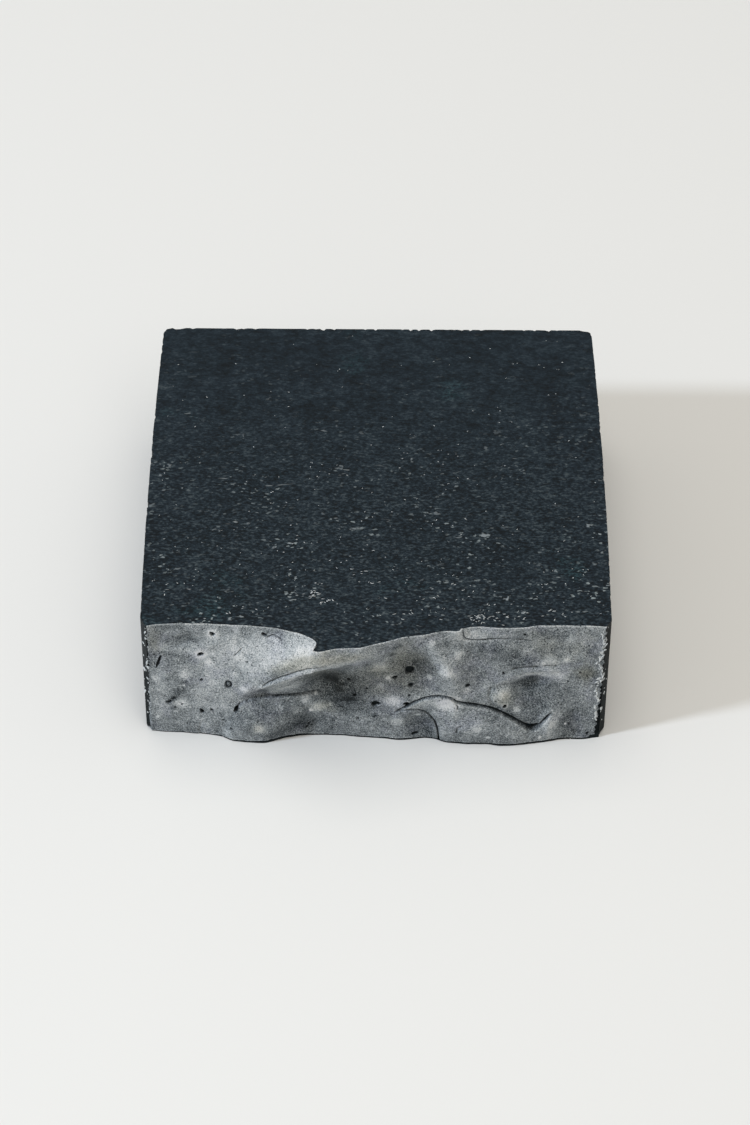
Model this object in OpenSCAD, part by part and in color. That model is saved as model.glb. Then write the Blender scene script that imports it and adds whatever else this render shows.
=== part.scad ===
// A bar of hand-made charcoal soap: one slice of a poured loaf, lying on a cut face.
// The loaf's rough poured top faces -Y, the mould's bottom faces +Y, and the mould's walls are at +-X.
// The poured top is a layer of separate folds of soap, and each fold carries its own skin of soda ash.

/* [Slice] */
// Width between the mould's two walls, at the four corners
bar_w = 76; // [60:1:90]
// Depth from the mould's bottom to the plane that the poured top is measured from
bar_d = 76; // [60:1:90]
// Thickness between the two cut faces
bar_h = 25.3; // [20:0.1:32]
// How far each mould wall let the loaf bulge at mid-depth
side_bow = 0.45; // [0:0.05:1]
// Radius of the two corners from the mould's bottom
corner_r = 1.5; // [0.5:0.1:4]
// Depth of the bare chamfer beside the poured top
chamfer_w = 1.4; // [1:0.1:2]

/* [Poured top] */
// Depth of the folded layer behind the plane of the poured top
layer_d = 1.5; // [1:0.1:2]
// Height of the folds as a share of their usual height
fold_scale = 1; // [0.7:0.05:1.1]
// Thickness of the soda ash skin
ash_t = 0.3; // [0.2:0.05:0.5]
// Gap in the ash skin at each crack and at the base
ash_gap = 0.15; // [0.1:0.05:0.2]

/* [Grains and crumbs] */
// Number of pale grains showing in the cut face
grain_count = 28; // [8:1:40]
// Depth of a grain below the cut face
grain_depth = 0.3; // [0.2:0.05:0.5]
// Number of pale crumbs on each chamfer
crumb_count = 9; // [4:1:12]

/* [Hidden] */

soap_color = [0.15, 0.19, 0.21];
fold_color = [0.19, 0.22, 0.24];
ash_color = [0.56, 0.58, 0.59];
grain_color = [0.75, 0.77, 0.77];

// The fold borders below are drawn on a slice this wide and thick, and are stretched to fit.
drawn_w = 76;
drawn_h = 25.3;
stretch_x = bar_w / drawn_w;
stretch_z = bar_h / drawn_h;
top_z = drawn_h;
front_y = -bar_d / 2;

// Places across the poured top, in drawn millimetres, where the folds are measured
stations = [-37.1, -34.5, -32.5, -30.5, -28.5, -26.8, -25.2, -24.3, -23, -21.3, -20.2, -18.6, -17,
    -15.6, -14.3, -13.1, -12, -11.3, -10.6, -10.2, -9.4, -8.2, -7, -5.5, -4, -2.5, -1, 0.4, 2, 3.4,
    5, 6.1, 7, 8.2, 9.3, 10.1, 10.5, 11.4, 12.6, 13.9, 14.8, 16.2, 17.5, 18.7, 20.3, 21.9, 23.3,
    24.7, 25.8, 27.4, 28.8, 30, 31.2, 32.3, 33.8, 35.2, 37.1];

// Borders between the folds: [x, z]
lower_crack = [[-25.2, 0.4], [-24.3, 3], [-23, 6.5], [-21.3, 8.8], [-16, 10], [-9.4, 10.3],
    [-5, 8.5], [0, 7], [3.4, 6.4], [6.9, 7.5], [8.9, 6.3], [10.1, 3.3], [10.5, 0.4]];
crest_ridge = [[-21.3, 9.4], [-20.2, 13.2], [-17, 16.4], [-14.3, 19.8], [-12, 23.1],
    [-10.2, top_z]];
crest_lip = [[-21.3, 9.4], [-20.2, 12.6], [-17, 14.6], [-14.4, 17.4], [-12, 19.3], [-9, 21],
    [-4.9, 21.7],
    [0.4, 22.1], [3.9, 22.9], [8, 23.9], [11.2, 24.5], [13.9, 24.9]];
right_foot = [[7, 23.2], [8.5, 21], [10, 18.6], [11.4, 16.4], [12.2, 13.5], [12.6, 10.9]];
tongue_seam = [[3.4, 6.8], [5, 8], [6.1, 9], [8.2, 10.4], [10.6, 11.1], [12.2, 10.8],
    [13.3, 9.8], [16.2, 9], [18.7, 8.2], [21.9, 6.2], [24.7, 4.1], [25.8, 3.1], [27.4, 5.1],
    [28.8, 6.7], [30.4, 5.2], [31.6, 2.5], [32.3, 0.4]];
strip_line = [[13.9, 24.6], [14.5, 23.3], [16.8, 22.7], [20.5, 22.9], [25, 22.4], [28.8, 22],
    [30, 22.1], [31.2, 22.7], [32.3, 24.4]];

// Height of one border at x
function border(line, x) = lookup(x, line);

// Each fold is a loft: [first x, last x, rows, guides], and a guide is [share of height, [[x, height]]].
left_loft = [-37.1, -10.6, 9, [
    [0, [[-37.1, -0.5], [-30, -0.1], [-25.2, 0.5], [-23, 0.8], [-21.3, 1.2], [-20.2, 2.2],
        [-17, 3.4], [-14.3, 4.4], [-12, 5.3], [-10.6, 6.1]]],
    [0.5, [[-37.1, 0.1], [-30, 0.5], [-25, 0.9], [-20, 1.4], [-17, 2], [-14.3, 3.1],
        [-12, 4.6], [-10.6, 5.4]]],
    [1, [[-37.1, 0.7], [-33, 0.3], [-28, 0.2], [-22, 0.5], [-17, 0.9], [-13.8, 1.6],
        [-12.2, 2.1], [-10.9, 3.4], [-10.6, 4.2]]]]];
crest_loft = [-20.2, 13.9, 3, [
    [0, [[-20.2, 1.8], [-17, 3], [-14.4, 4], [-12, 4.9], [-9, 5.6], [-4.9, 5.2], [0.4, 3.8],
        [3.9, 3], [8, 2.3], [11.2, 1.6], [13.9, 1.4]]],
    [0.5, [[-20.2, 2.1], [-17, 3.4], [-14.4, 4.4], [-12, 5.4], [-9, 6.3], [-4.9, 5.8],
        [0.4, 4.4], [3.9, 3.5], [8, 2.5], [13.9, 1.6]]],
    [1, [[-20.2, 2.2], [-17, 3.4], [-14.3, 4.4], [-12, 5.3], [-10.2, 6.4], [-8.9, 6.6],
        [-7.3, 6], [-2.5, 5.6], [1.5, 4.2], [4.7, 3], [7.1, 2.7], [10.6, 1.6], [13.2, 1.9],
        [13.9, 1.7]]]]];
centre_loft = [-21.3, 12.6, 6, [
    [0, [[-20.2, 0.6], [-16, 0.8], [-9.4, 0.7], [-5, 0.6], [0, 0.9], [3.4, 1.2], [6.1, 1.6],
        [8.2, 1.9], [12.6, 2.1]]],
    [0.35, [[-20.2, 0.3], [-16, 0.5], [-9.4, 0.3], [-5, 0.4], [0, 0.8], [3.4, 1], [6.1, 1.2],
        [9, 1.5], [12.6, 2.2]]],
    [0.7, [[-20.2, 0.8], [-16, 1.6], [-12, 2.6], [-9, 3], [-4.9, 3], [0.4, 2.3], [3.9, 1.8],
        [7, 1.5], [12.6, 2.4]]],
    [1, [[-20.2, 1.8], [-17, 3], [-14.4, 4], [-12, 4.9], [-9, 5.6], [-4.9, 5.2], [0.4, 3.8],
        [3.9, 3], [7, 2.3], [12.6, 2.5]]]]];
lower_loft = [-25.2, 10.5, 5, [
    [0, [[-25.2, 0.8], [-23.7, 1.6], [-20.7, 2.1], [-18.3, 2.2], [-16.8, 1.6], [-14.2, 0.7],
        [-9.2, 0.2], [-3.4, 0.5], [0, 0.8], [4.6, 1.3], [8.4, 0.8], [10.5, 0.8]]],
    [0.5, [[-25.2, 0.8], [-23, 1.9], [-20, 2.4], [-16, 1.9], [-12, 1.2], [-8, 1], [-3.4, 0.9],
        [5, 0.9], [10.5, 0.5]]],
    [1, [[-25.2, 0.7], [-23, 1.2], [-20, 1.5], [-16, 1.3], [-9.4, 0.9], [-5, 0.6], [0, 0.9],
        [3.4, 1.2], [7, 0.9], [10.5, 0.6]]]]];
tongue_loft = [3.4, 32.3, 4, [
    [0, [[3.4, 1.4], [7, 1.7], [8.9, 1.8], [10.5, 1.3], [12.4, 1.9], [16.5, 2.1], [20.2, 2.5],
        [22.3, 2.4], [25.6, 1.9], [29, 1.3], [32.3, 0.8]]],
    [0.5, [[3.4, 1.6], [7, 2.2], [10.5, 2.5], [14, 2.9], [20, 3], [24, 2.6], [26, 2.2],
        [29, 2], [32.3, 0.9]]],
    [1, [[3.4, 1.6], [7, 2.2], [10.6, 2.6], [18.7, 2.5], [22, 2.3], [25.8, 1.6], [28.8, 1.5],
        [32.3, 0.8]]]]];
right_loft = [7, 37.1, 8, [
    [0, [[7, 2.4], [10, 2.6], [12.6, 2.4], [16.2, 1.6], [20, 1.2], [24.7, 0.9], [25.8, 0.7],
        [28.8, 1.2], [32.3, 0.6], [37.1, 0.3]]],
    [0.35, [[7, 2.5], [12.6, 2.6], [16, 1.8], [20, 1.7], [22, 1.9], [25, 0.9], [32, 0.9],
        [37.1, 0.5]]],
    [0.65, [[7, 2.5], [12.6, 1.9], [16, 1], [20, 0.8], [25, 0.7], [30, 0.9], [37.1, 0.5]]],
    [1, [[7, 2.5], [10, 1.9], [13.9, 1], [16.8, 0.4], [20.5, 0.6], [25, 0.4], [30, 0.2],
        [37.1, 0.3]]]]];
upper_right_loft = [13.9, 32.3, 2, [
    [0, [[13.9, 0.8], [16.8, 0.6], [20.5, 0.9], [25, 0.7], [30, 0.2]]],
    [1, [[13.9, 0.8], [16.7, 0.5], [19, 0.8], [21.5, 0.9], [24, 0.7], [26.4, 0.2], [30, 0.2]]]]];

// Lower and upper border of each fold at x
function left_low(x) = x < -25.2 ? 0 : x < -22 ? border(lower_crack, x) : border(crest_ridge, x);
function left_high(x) = top_z;
function crest_low(x) = border(crest_lip, x);
function crest_high(x) = border(crest_ridge, x);
function centre_low(x) = x < 3.4 ? border(lower_crack, x) : border(tongue_seam, x);
function centre_high(x) = x < 7 ? border(crest_lip, x) : border(right_foot, x);
function lower_low(x) = 0;
function lower_high(x) = border(lower_crack, x);
function tongue_low(x) = x < 10.5 ? border(lower_crack, x) : 0;
function tongue_high(x) = border(tongue_seam, x);
function right_low(x) =
    x < 12.6 ? border(right_foot, x) : x < 32.3 ? border(tongue_seam, x) : 0;
function right_high(x) =
    x < 13.9 ? border(crest_lip, x) : x < 33 ? border(strip_line, x) : top_z;
function upper_right_low(x) = border(strip_line, x);
function upper_right_high(x) = top_z;

// Smooth step from 0 to 1
function ease(t) = t * t * (3 - 2 * t);

// Height of a loft at x and at a share of its height, eased between the guides on either side
function loft_height(guides, x, share, i = 0) =
    i == len(guides) - 2 || share <= guides[i + 1][0]
        ? let (t = (share - guides[i][0]) / (guides[i + 1][0] - guides[i][0]))
            (1 - ease(t)) * lookup(x, guides[i][1]) + ease(t) * lookup(x, guides[i + 1][1])
        : loft_height(guides, x, share, i + 1);

function columns(loft) = [for (x = stations) if (x >= loft[0] && x <= loft[1]) x];

// A closed solid between two sheets of points; each sheet is a list of columns from low to high
module slab(front, back) {
    n = len(front);
    m = len(front[0]);
    points = concat([for (column = front) each column], [for (column = back) each column]);
    function at(i, j) = i * m + j;
    function behind(i, j) = n * m + at(i, j);
    faces = concat(
        [for (i = [0 : n - 2]) for (j = [0 : m - 2]) each [
            [at(i, j), at(i + 1, j + 1), at(i + 1, j)],
            [at(i, j), at(i, j + 1), at(i + 1, j + 1)],
            [behind(i, j), behind(i + 1, j), behind(i + 1, j + 1)],
            [behind(i, j), behind(i + 1, j + 1), behind(i, j + 1)]]],
        [for (i = [0 : n - 2]) each [
            [at(i, 0), at(i + 1, 0), behind(i + 1, 0)],
            [at(i, 0), behind(i + 1, 0), behind(i, 0)],
            [at(i, m - 1), behind(i + 1, m - 1), at(i + 1, m - 1)],
            [at(i, m - 1), behind(i, m - 1), behind(i + 1, m - 1)]]],
        [for (j = [0 : m - 2]) each [
            [at(0, j), behind(0, j), behind(0, j + 1)],
            [at(0, j), behind(0, j + 1), at(0, j + 1)],
            [at(n - 1, j), behind(n - 1, j + 1), behind(n - 1, j)],
            [at(n - 1, j), at(n - 1, j + 1), behind(n - 1, j + 1)]]]);
    polyhedron(points, faces);
}

// The sheet of a loft, lifted by a fixed amount; low_gap and high_gap hold its borders back
function sheet(loft, low, high, lift, low_gap = 0, high_gap = 0) =
    [for (x = columns(loft))
        let (z0 = low(x) + low_gap, z1 = high(x) - (high(x) < top_z ? high_gap : 0))
        [for (j = [0 : loft[2]])
            let (z = z0 + (z1 - z0) * j / loft[2],
                share = (z - low(x)) / (high(x) - low(x)),
                height = fold_scale * loft_height(loft[3], x, share))
            [x * stretch_x, front_y - height - lift, z * stretch_z]]];

// The same sheet laid flat on the plane behind the folds
function flat_sheet(loft, low, high) =
    [for (x = columns(loft))
        [for (j = [0 : loft[2]])
            [x * stretch_x, front_y + layer_d,
                (low(x) + (high(x) - low(x)) * j / loft[2]) * stretch_z]]];

module fold(loft, low, high) {
    color(fold_color)
        slab(sheet(loft, low, high, -ash_t), flat_sheet(loft, low, high));
}

module ash(loft, low, high) {
    color(ash_color)
        slab(sheet(loft, low, high, 0, ash_gap, ash_gap),
            sheet(loft, low, high, -ash_t, ash_gap, ash_gap));
}

// Seeded throws for the grains, so that every build is the same; grain places keep off the edges
grain_max = 40;
grain_margin = 4;
grain_reach = [bar_w / 2 - grain_margin, bar_d / 2 - grain_margin];
grain_x = rands(-grain_reach.x, grain_reach.x, grain_max, 21);
grain_y = rands(-grain_reach.y, grain_reach.y, grain_max, 34);
grain_length = rands(0.7, 1.8, grain_max, 55);
grain_width = rands(0.4, 0.65, grain_max, 89);
grain_turn = rands(-12, 16, grain_max, 144);

// A grain is a long six-sided chip, level with the cut face
module grain(i) {
    half = grain_length[i] / 2;
    wide = grain_width[i] / 2;
    translate([grain_x[i], grain_y[i], bar_h - grain_depth])
        rotate([0, 0, grain_turn[i]])
            linear_extrude(grain_depth)
                polygon([[-half, 0], [-half / 2, -wide], [half / 2, -wide], [half, 0],
                    [half / 2, wide], [-half / 2, wide]]);
}

// Outline of the slice seen from above: bowed walls, two round corners, and the pocket for the folds
function wall_x(y) = bar_w / 2 + side_bow * (1 - pow(2 * y / bar_d, 2));
wall_steps = 10;
wall_y0 = front_y + chamfer_w;
wall_y1 = bar_d / 2 - corner_r;
wall = [for (i = [0 : wall_steps])
    let (y = wall_y0 + (wall_y1 - wall_y0) * i / wall_steps) [wall_x(y), y]];
corner = [for (a = [15 : 15 : 90])
    [wall_x(wall_y1) - corner_r + corner_r * cos(a), wall_y1 + corner_r * sin(a)]];
pocket_x = stations[len(stations) - 1] * stretch_x;
half_outline = concat([[pocket_x, front_y + layer_d], [pocket_x, front_y]], wall, corner);
mirrored_outline = [for (i = [len(half_outline) - 1 : -1 : 0])
    [-half_outline[i].x, half_outline[i].y]];

module soap_body() {
    color(soap_color)
        difference() {
            linear_extrude(bar_h)
                polygon(concat(half_outline, mirrored_outline));
            for (i = [0 : grain_count - 1])
                grain(i);
        }
}

module left_fold() { fold(left_loft, function(x) left_low(x), function(x) left_high(x)); }
module crest_fold() { fold(crest_loft, function(x) crest_low(x), function(x) crest_high(x)); }
module centre_fold() { fold(centre_loft, function(x) centre_low(x), function(x) centre_high(x)); }
module lower_fold() { fold(lower_loft, function(x) lower_low(x), function(x) lower_high(x)); }
module tongue_fold() { fold(tongue_loft, function(x) tongue_low(x), function(x) tongue_high(x)); }
module right_fold() { fold(right_loft, function(x) right_low(x), function(x) right_high(x)); }
module upper_right_fold() {
    fold(upper_right_loft, function(x) upper_right_low(x), function(x) upper_right_high(x));
}

module left_ash() { ash(left_loft, function(x) left_low(x), function(x) left_high(x)); }
module crest_ash() { ash(crest_loft, function(x) crest_low(x), function(x) crest_high(x)); }
module centre_ash() { ash(centre_loft, function(x) centre_low(x), function(x) centre_high(x)); }
module lower_ash() { ash(lower_loft, function(x) lower_low(x), function(x) lower_high(x)); }
module tongue_ash() { ash(tongue_loft, function(x) tongue_low(x), function(x) tongue_high(x)); }
module right_ash() { ash(right_loft, function(x) right_low(x), function(x) right_high(x)); }
module upper_right_ash() {
    ash(upper_right_loft, function(x) upper_right_low(x), function(x) upper_right_high(x));
}

module pale_grains() {
    color(grain_color)
        for (i = [0 : grain_count - 1])
            grain(i);
}

// Crumbs stand on the two chamfers, each with one face against the soap
crumb_max = 12;
crumb_size = rands(0.3, 0.6, 2 * crumb_max, 233);
crumb_tall = 1.4;

module edge_crumbs() {
    chamfer_mid = [(pocket_x + wall_x(wall_y0)) / 2, front_y + chamfer_w / 2];
    chamfer_turn = atan2(chamfer_w, wall_x(wall_y0) - pocket_x);
    color(grain_color)
        for (side = [0, 1])
            mirror([side, 0, 0])
                for (i = [0 : crumb_count - 1]) {
                    size = crumb_size[i + side * crumb_max];
                    translate([chamfer_mid.x, chamfer_mid.y, (i + 0.5) * bar_h / crumb_count])
                        rotate([0, 0, chamfer_turn])
                            translate([-size / 2, -size / 2, 0])
                                cube([size, size / 2, crumb_tall * size]);
                }
}

soap_body();
left_fold();
crest_fold();
centre_fold();
lower_fold();
tongue_fold();
right_fold();
upper_right_fold();
left_ash();
crest_ash();
centre_ash();
lower_ash();
tongue_ash();
right_ash();
upper_right_ash();
pale_grains();
edge_crumbs();
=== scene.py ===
import bpy
import math
import numpy as np
from mathutils import Matrix, Vector, noise


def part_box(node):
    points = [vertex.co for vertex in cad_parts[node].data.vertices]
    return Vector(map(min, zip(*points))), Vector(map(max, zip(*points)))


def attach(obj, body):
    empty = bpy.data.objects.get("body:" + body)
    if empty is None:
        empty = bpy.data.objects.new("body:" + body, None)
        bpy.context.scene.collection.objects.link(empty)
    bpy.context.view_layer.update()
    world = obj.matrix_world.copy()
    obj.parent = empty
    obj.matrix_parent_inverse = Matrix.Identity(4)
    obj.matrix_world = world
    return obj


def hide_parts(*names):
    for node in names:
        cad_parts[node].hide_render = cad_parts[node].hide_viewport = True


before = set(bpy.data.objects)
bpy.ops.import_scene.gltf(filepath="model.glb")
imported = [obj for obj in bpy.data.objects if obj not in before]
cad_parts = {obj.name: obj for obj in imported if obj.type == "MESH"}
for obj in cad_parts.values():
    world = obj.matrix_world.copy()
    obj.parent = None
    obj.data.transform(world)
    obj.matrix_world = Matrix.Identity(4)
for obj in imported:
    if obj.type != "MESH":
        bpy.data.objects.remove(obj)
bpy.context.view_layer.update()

mm = 0.001
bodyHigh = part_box("soap_body")[1]
topZ = bodyHigh.z / mm  # the upper cut face, in millimetres as all the drawing below is
frontY = -bodyHigh.y / mm  # the plane that the folds' heights are measured from
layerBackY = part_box("left_fold")[1].y / mm  # where the folds meet the block
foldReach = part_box("right_fold")[1].x / mm  # how far the folds go to each side
print("frame loaded")

lens = {"length": 105, "sensor": 36, "place": (-0.22, -419.5, 390.5), "down": 42.667, "roll": 0.354}


def placeCamera():
    bpy.ops.object.camera_add()
    cam = bpy.context.object
    cam.name = "camera"
    cam.data.lens = lens["length"]
    cam.data.sensor_width = lens["sensor"]
    cam.data.clip_start = 0.01
    tilt = Matrix.Rotation(math.radians(90 - lens["down"]), 4, "X")
    roll = Matrix.Rotation(math.radians(lens["roll"]), 4, "Z")
    cam.matrix_world = Matrix.Translation(Vector(lens["place"]) * mm) @ tilt @ roll
    bpy.context.scene.camera = cam


placeCamera()


# The rough front is one height field over (x, z) in millimetres: guide lines run across it from the base
# to the upper cut face, and each point of a guide is (x, z, height out of the front plane).
guides = [
    [(-38, 0, -0.8), (-35.8, 0, -0.4), (-32, 0, -0.2), (-29, 0, 0), (-26.6, 0, 0.4), (-24.9, 0, 1),
     (-23.7, 0, 1.6), (-20.7, 0, 2.1), (-18.3, 0, 2.2), (-16.8, 0, 1.6), (-14.2, 0, 0.7),
     (-12.5, 0, 0.35), (-9.2, 0, 0.2), (-5.9, 0, 0.2), (-3.4, 0, 0.55), (0, 0, 0.8), (3.3, 0, 1.2),
     (4.6, 0, 1.3), (6.6, 0, 1.05), (8.4, 0, 0.8), (10, 0, 0.9), (11.1, 0, 1.5), (12.4, 0, 1.9),
     (16.5, 0, 2.1), (19, 0, 2.1), (20.2, 0, 2.5), (22.3, 0, 2.4), (25.6, 0, 1.9), (29, 0, 1.3),
     (31, 0, 0.85), (34, 0, 0.9), (36.5, 0, 0.4), (38, 0, 0.2)],
    [(-38, 0.2, -0.7), (-30, 0.2, 0), (-25.4, 0.2, 0.6), (-24.3, 1.5, 1.5), (-23, 3.5, 2),
     (-20, 4, 2.4), (-17, 4, 2.3), (-14, 4, 1.5), (-11, 3, 0.5), (-9, 3, 0.4), (-5, 3.8, 0.6),
     (0, 3.6, 0.9), (5, 3, 1), (8.5, 2.8, 0.9), (10.5, 3, 2), (12.5, 4.5, 2.6), (16, 4, 2.8),
     (20, 3.2, 2.9), (24, 2, 2.5), (26, 1.6, 2), (29, 3.8, 1.7), (31, 3, 0.6), (32.5, 3, 0.4),
     (38, 4, 0.4)],
    [(-38, 0.4, -0.6), (-30, 0.4, 0.1), (-25.2, 0.5, 0.7), (-24.3, 3, 1.2), (-23, 6.5, 1.2),
     (-21.3, 8.8, 1.2), (-16, 10, 1.2), (-9.4, 10.3, 0.9), (-5, 8.5, 0.6), (0, 7, 0.9),
     (3.4, 6.8, 1.2), (6.1, 9, 1.6), (8.2, 10.4, 1.8), (10.6, 11.1, 2.1), (12.2, 10.8, 2.1),
     (13.3, 9.8, 2), (16.2, 9, 1.8), (18.7, 8.2, 1.7), (21.9, 6.2, 1.6), (24.7, 4.1, 1.4),
     (25.8, 3.1, 1.3), (27.4, 5.1, 1.4), (28.8, 6.7, 1.5), (30.4, 6.2, 1), (32.3, 5.6, 0.5),
     (38, 6, 0.4)],
    [(-38, 6, -0.2), (-30, 6, 0.3), (-25.2, 6.5, 0.8), (-23, 8.3, 1), (-21.3, 9.6, 1.1),
     (-20, 10.5, 0.9), (-17, 11.8, 1.7), (-14, 12.2, 1.9), (-10.3, 13, 1), (-5, 11.5, 0.5),
     (0, 10.5, 0.9), (5, 11.5, 1.1), (9, 13, 1.5), (12.5, 13.5, 2.4), (16, 11.5, 1.5),
     (20, 10.8, 1.7), (24, 8.5, 0.8), (26, 8, 0.8), (29, 9, 0.9), (32.5, 8, 0.6), (38, 8, 0.4)],
    [(-38, 8, -0.1), (-30, 8, 0.4), (-25.2, 8.2, 0.8), (-23, 9.2, 1.1), (-21.3, 10.2, 1.4),
     (-20, 11.3, 1.5), (-17, 13.2, 2.5), (-14, 15, 3.1), (-10.3, 17, 3.1), (-5, 17, 2.2),
     (0, 18, 2.2), (5, 18.5, 1.5), (9, 17.5, 1.7), (12.5, 17, 2.3), (16, 15.5, 1.2),
     (20, 14, 1), (24, 13.2, 0.3), (26, 13, 0.4), (29, 13, 0.7), (38, 13, 0.4)],
    [(-38, 10, 0), (-30, 10, 0.5), (-25.2, 10, 0.9), (-23, 10.2, 1.2), (-21.3, 10.9, 1.8),
     (-20, 12.2, 2.3), (-17, 14.6, 3.2), (-14.4, 17.4, 4.3), (-12, 19.3, 5.2), (-9, 21, 6),
     (-5, 21.9, 5.2), (0.4, 22.2, 4), (4, 22.6, 2.7), (8, 22.2, 2.5), (10, 20.8, 2.4),
     (12.5, 19.5, 2.2), (16, 17.5, 1.1), (20, 16, 1.1), (22, 15.8, 1), (24, 15.4, 1),
     (29, 15.3, 0.9), (33, 15.5, 0.7), (38, 15.5, 0.5)],
    [(-38, 16, 0.3), (-30, 16, 0.6), (-25.2, 15, 1), (-23, 13.6, 1.4), (-21.3, 12.8, 2),
     (-20, 13.7, 2.5), (-17, 16.4, 3.5), (-14.3, 19.8, 4.5), (-12, 23, 5.4), (-10.2, 24.8, 6.4),
     (-9, 24.2, 6.6), (-7, 23.8, 6.1), (-2.5, 24, 5.6), (1.5, 24.2, 4.2), (4.7, 24.4, 3),
     (8, 24.2, 2.5), (10.6, 24, 1.9), (13.2, 23.7, 1.4), (15.4, 23.2, 1), (17.4, 22.8, 0.7),
     (20.5, 23.2, 0.7), (25, 22.7, 0.5), (30, 21.4, 0.3), (38, 21.4, 0.3)],
    [(-38, topZ, 1.2), (-36.6, topZ, 0.7), (-33, topZ, 0.25), (-28, topZ, 0.2), (-22, topZ, 0.5),
     (-17, topZ, 0.9), (-13.8, topZ, 1.6), (-12.2, topZ, 2.2), (-11.4, topZ, 2.9),
     (-10.9, topZ, 3.7), (-10.6, topZ, 4.7), (-10.4, topZ, 5.7), (-10, topZ, 6.4), (-8.9, topZ, 6.6),
     (-7.3, topZ, 6),
     (-4.9, topZ, 5.65), (-2.5, topZ, 5.6), (-0.9, topZ, 4.9), (1.5, topZ, 4.2), (3.1, topZ, 3.6),
     (4.7, topZ, 3), (7.1, topZ, 2.7), (8.7, topZ, 2.1), (10.6, topZ, 1.55), (11.9, topZ, 1.6),
     (13.2, topZ, 1.9), (13.7, topZ, 1.8), (13.9, topZ, 0.75), (16.7, topZ, 0.5), (19, topZ, 0.8),
     (21.5, topZ, 0.9), (24, topZ, 0.7), (26.4, topZ, 0.15), (34, topZ, 0.15), (38, topZ, 0.4)],
]

# Borders between the lobes, as (x, z)
lowerCrack = [(-25.2, 0), (-24.3, 3), (-23, 6.5), (-21.3, 8.8), (-16, 10), (-9.4, 10.3),
              (-5, 8.5), (0, 7), (3.4, 6.6), (6.9, 7.5), (8.9, 6.3), (10.1, 3.3), (10.5, 0)]
crestRidge = [(-21.3, 8.8), (-21.1, 9.8), (-20.8, 11.2), (-20.4, 12.6), (-19.6, 13.9),
              (-17, 16.4), (-14.3, 19.8), (-12, 23.1), (-10.3, topZ)]
crestLip = [(-21.3, 8.8), (-21.1, 9.8), (-20.9, 10.6), (-20, 12.2), (-17, 14.6), (-14.4, 17.4),
            (-12, 19.3), (-9, 21), (-4.9, 21.9), (0.4, 22.2), (3.9, 22.9), (7, 23.6), (11.2, 24.5),
            (13.9, topZ)]
rightFoot = [(7, 23.6), (8.5, 21), (10, 18.6), (11.4, 16.4), (12.2, 13.5), (12.6, 10.5)]
tongueSeam = [(3.4, 6.6), (5, 8), (6.1, 9), (8.2, 10.4), (10.6, 11.1), (12.2, 10.8), (12.6, 10.5),
              (13.3, 9.8), (16.2, 9), (18.7, 8.2), (21.9, 6.2), (24.2, 4.2), (25.2, 3.4),
              (26.1, 3.1), (27, 3.8), (27.8, 5.2), (28.9, 6.6), (30.4, 5.2), (31.6, 2.5), (32.3, 0)]
stripLine = [(13.9, topZ), (14.05, 24.4), (14.2, 23.7), (14.6, 23.2), (17, 22.7), (20.7, 22.9),
             (24, 22.6), (27, 22), (29.5, 21.9), (31.5, 22.8), (32.8, 24.2), (33.2, topZ)]


def tangents(step, values):  # slopes at the points of a curve, which never let it overshoot
    slope = np.diff(values, axis=0) / step
    both = slope[:-1] * slope[1:]
    total = np.where(both > 0, slope[:-1] + slope[1:], 1)
    return np.concatenate([slope[:1], np.where(both > 0, 2 * both / total, 0), slope[-1:]])


def arc(t, step, values, tangent, i):  # the curve between its points i and i + 1
    return ((1 + 2 * t) * (1 - t) ** 2 * values[i] + t * (1 - t) ** 2 * step[i] * tangent[i]
            + t * t * (3 - 2 * t) * values[i + 1] + t * t * (t - 1) * step[i] * tangent[i + 1])


def through(points, x):  # a smooth curve through given points, level beyond its ends
    px, py = np.array(points, float).T
    step = np.diff(px)
    x = np.clip(x, px[0], px[-1])
    i = np.clip(np.searchsorted(px, x) - 1, 0, len(px) - 2)
    return arc((x - px[i]) / step[i], step, py, tangents(step, py), i)


def border(line):
    return lambda x: through(line, x)


def slopeOf(curve, x, reach=0.05):
    return (curve(x + reach) - curve(x - reach)) / (2 * reach)


def smooth(low, high, value):  # 0 below low, 1 above high, eased between
    t = np.clip((value - low) / (high - low), 0, 1)
    return t * t * (3 - 2 * t)


def guideHeight(x, z):  # the height field through the guides, smooth from each guide to the next
    zs = np.array([through([(p[0], p[1]) for p in line], x) for line in guides])
    hs = np.array([through([(p[0], p[2]) for p in line], x) for line in guides])
    step = np.maximum(np.diff(zs, axis=0), 0.05)
    tangent = tangents(step, hs)
    height = hs[0].copy()
    for i in range(len(guides) - 1):
        t = np.clip((z - zs[i]) / step[i], 0, 1)
        height = np.where(z >= zs[i], arc(t, step, hs, tangent, i), height)
    return height


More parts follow.
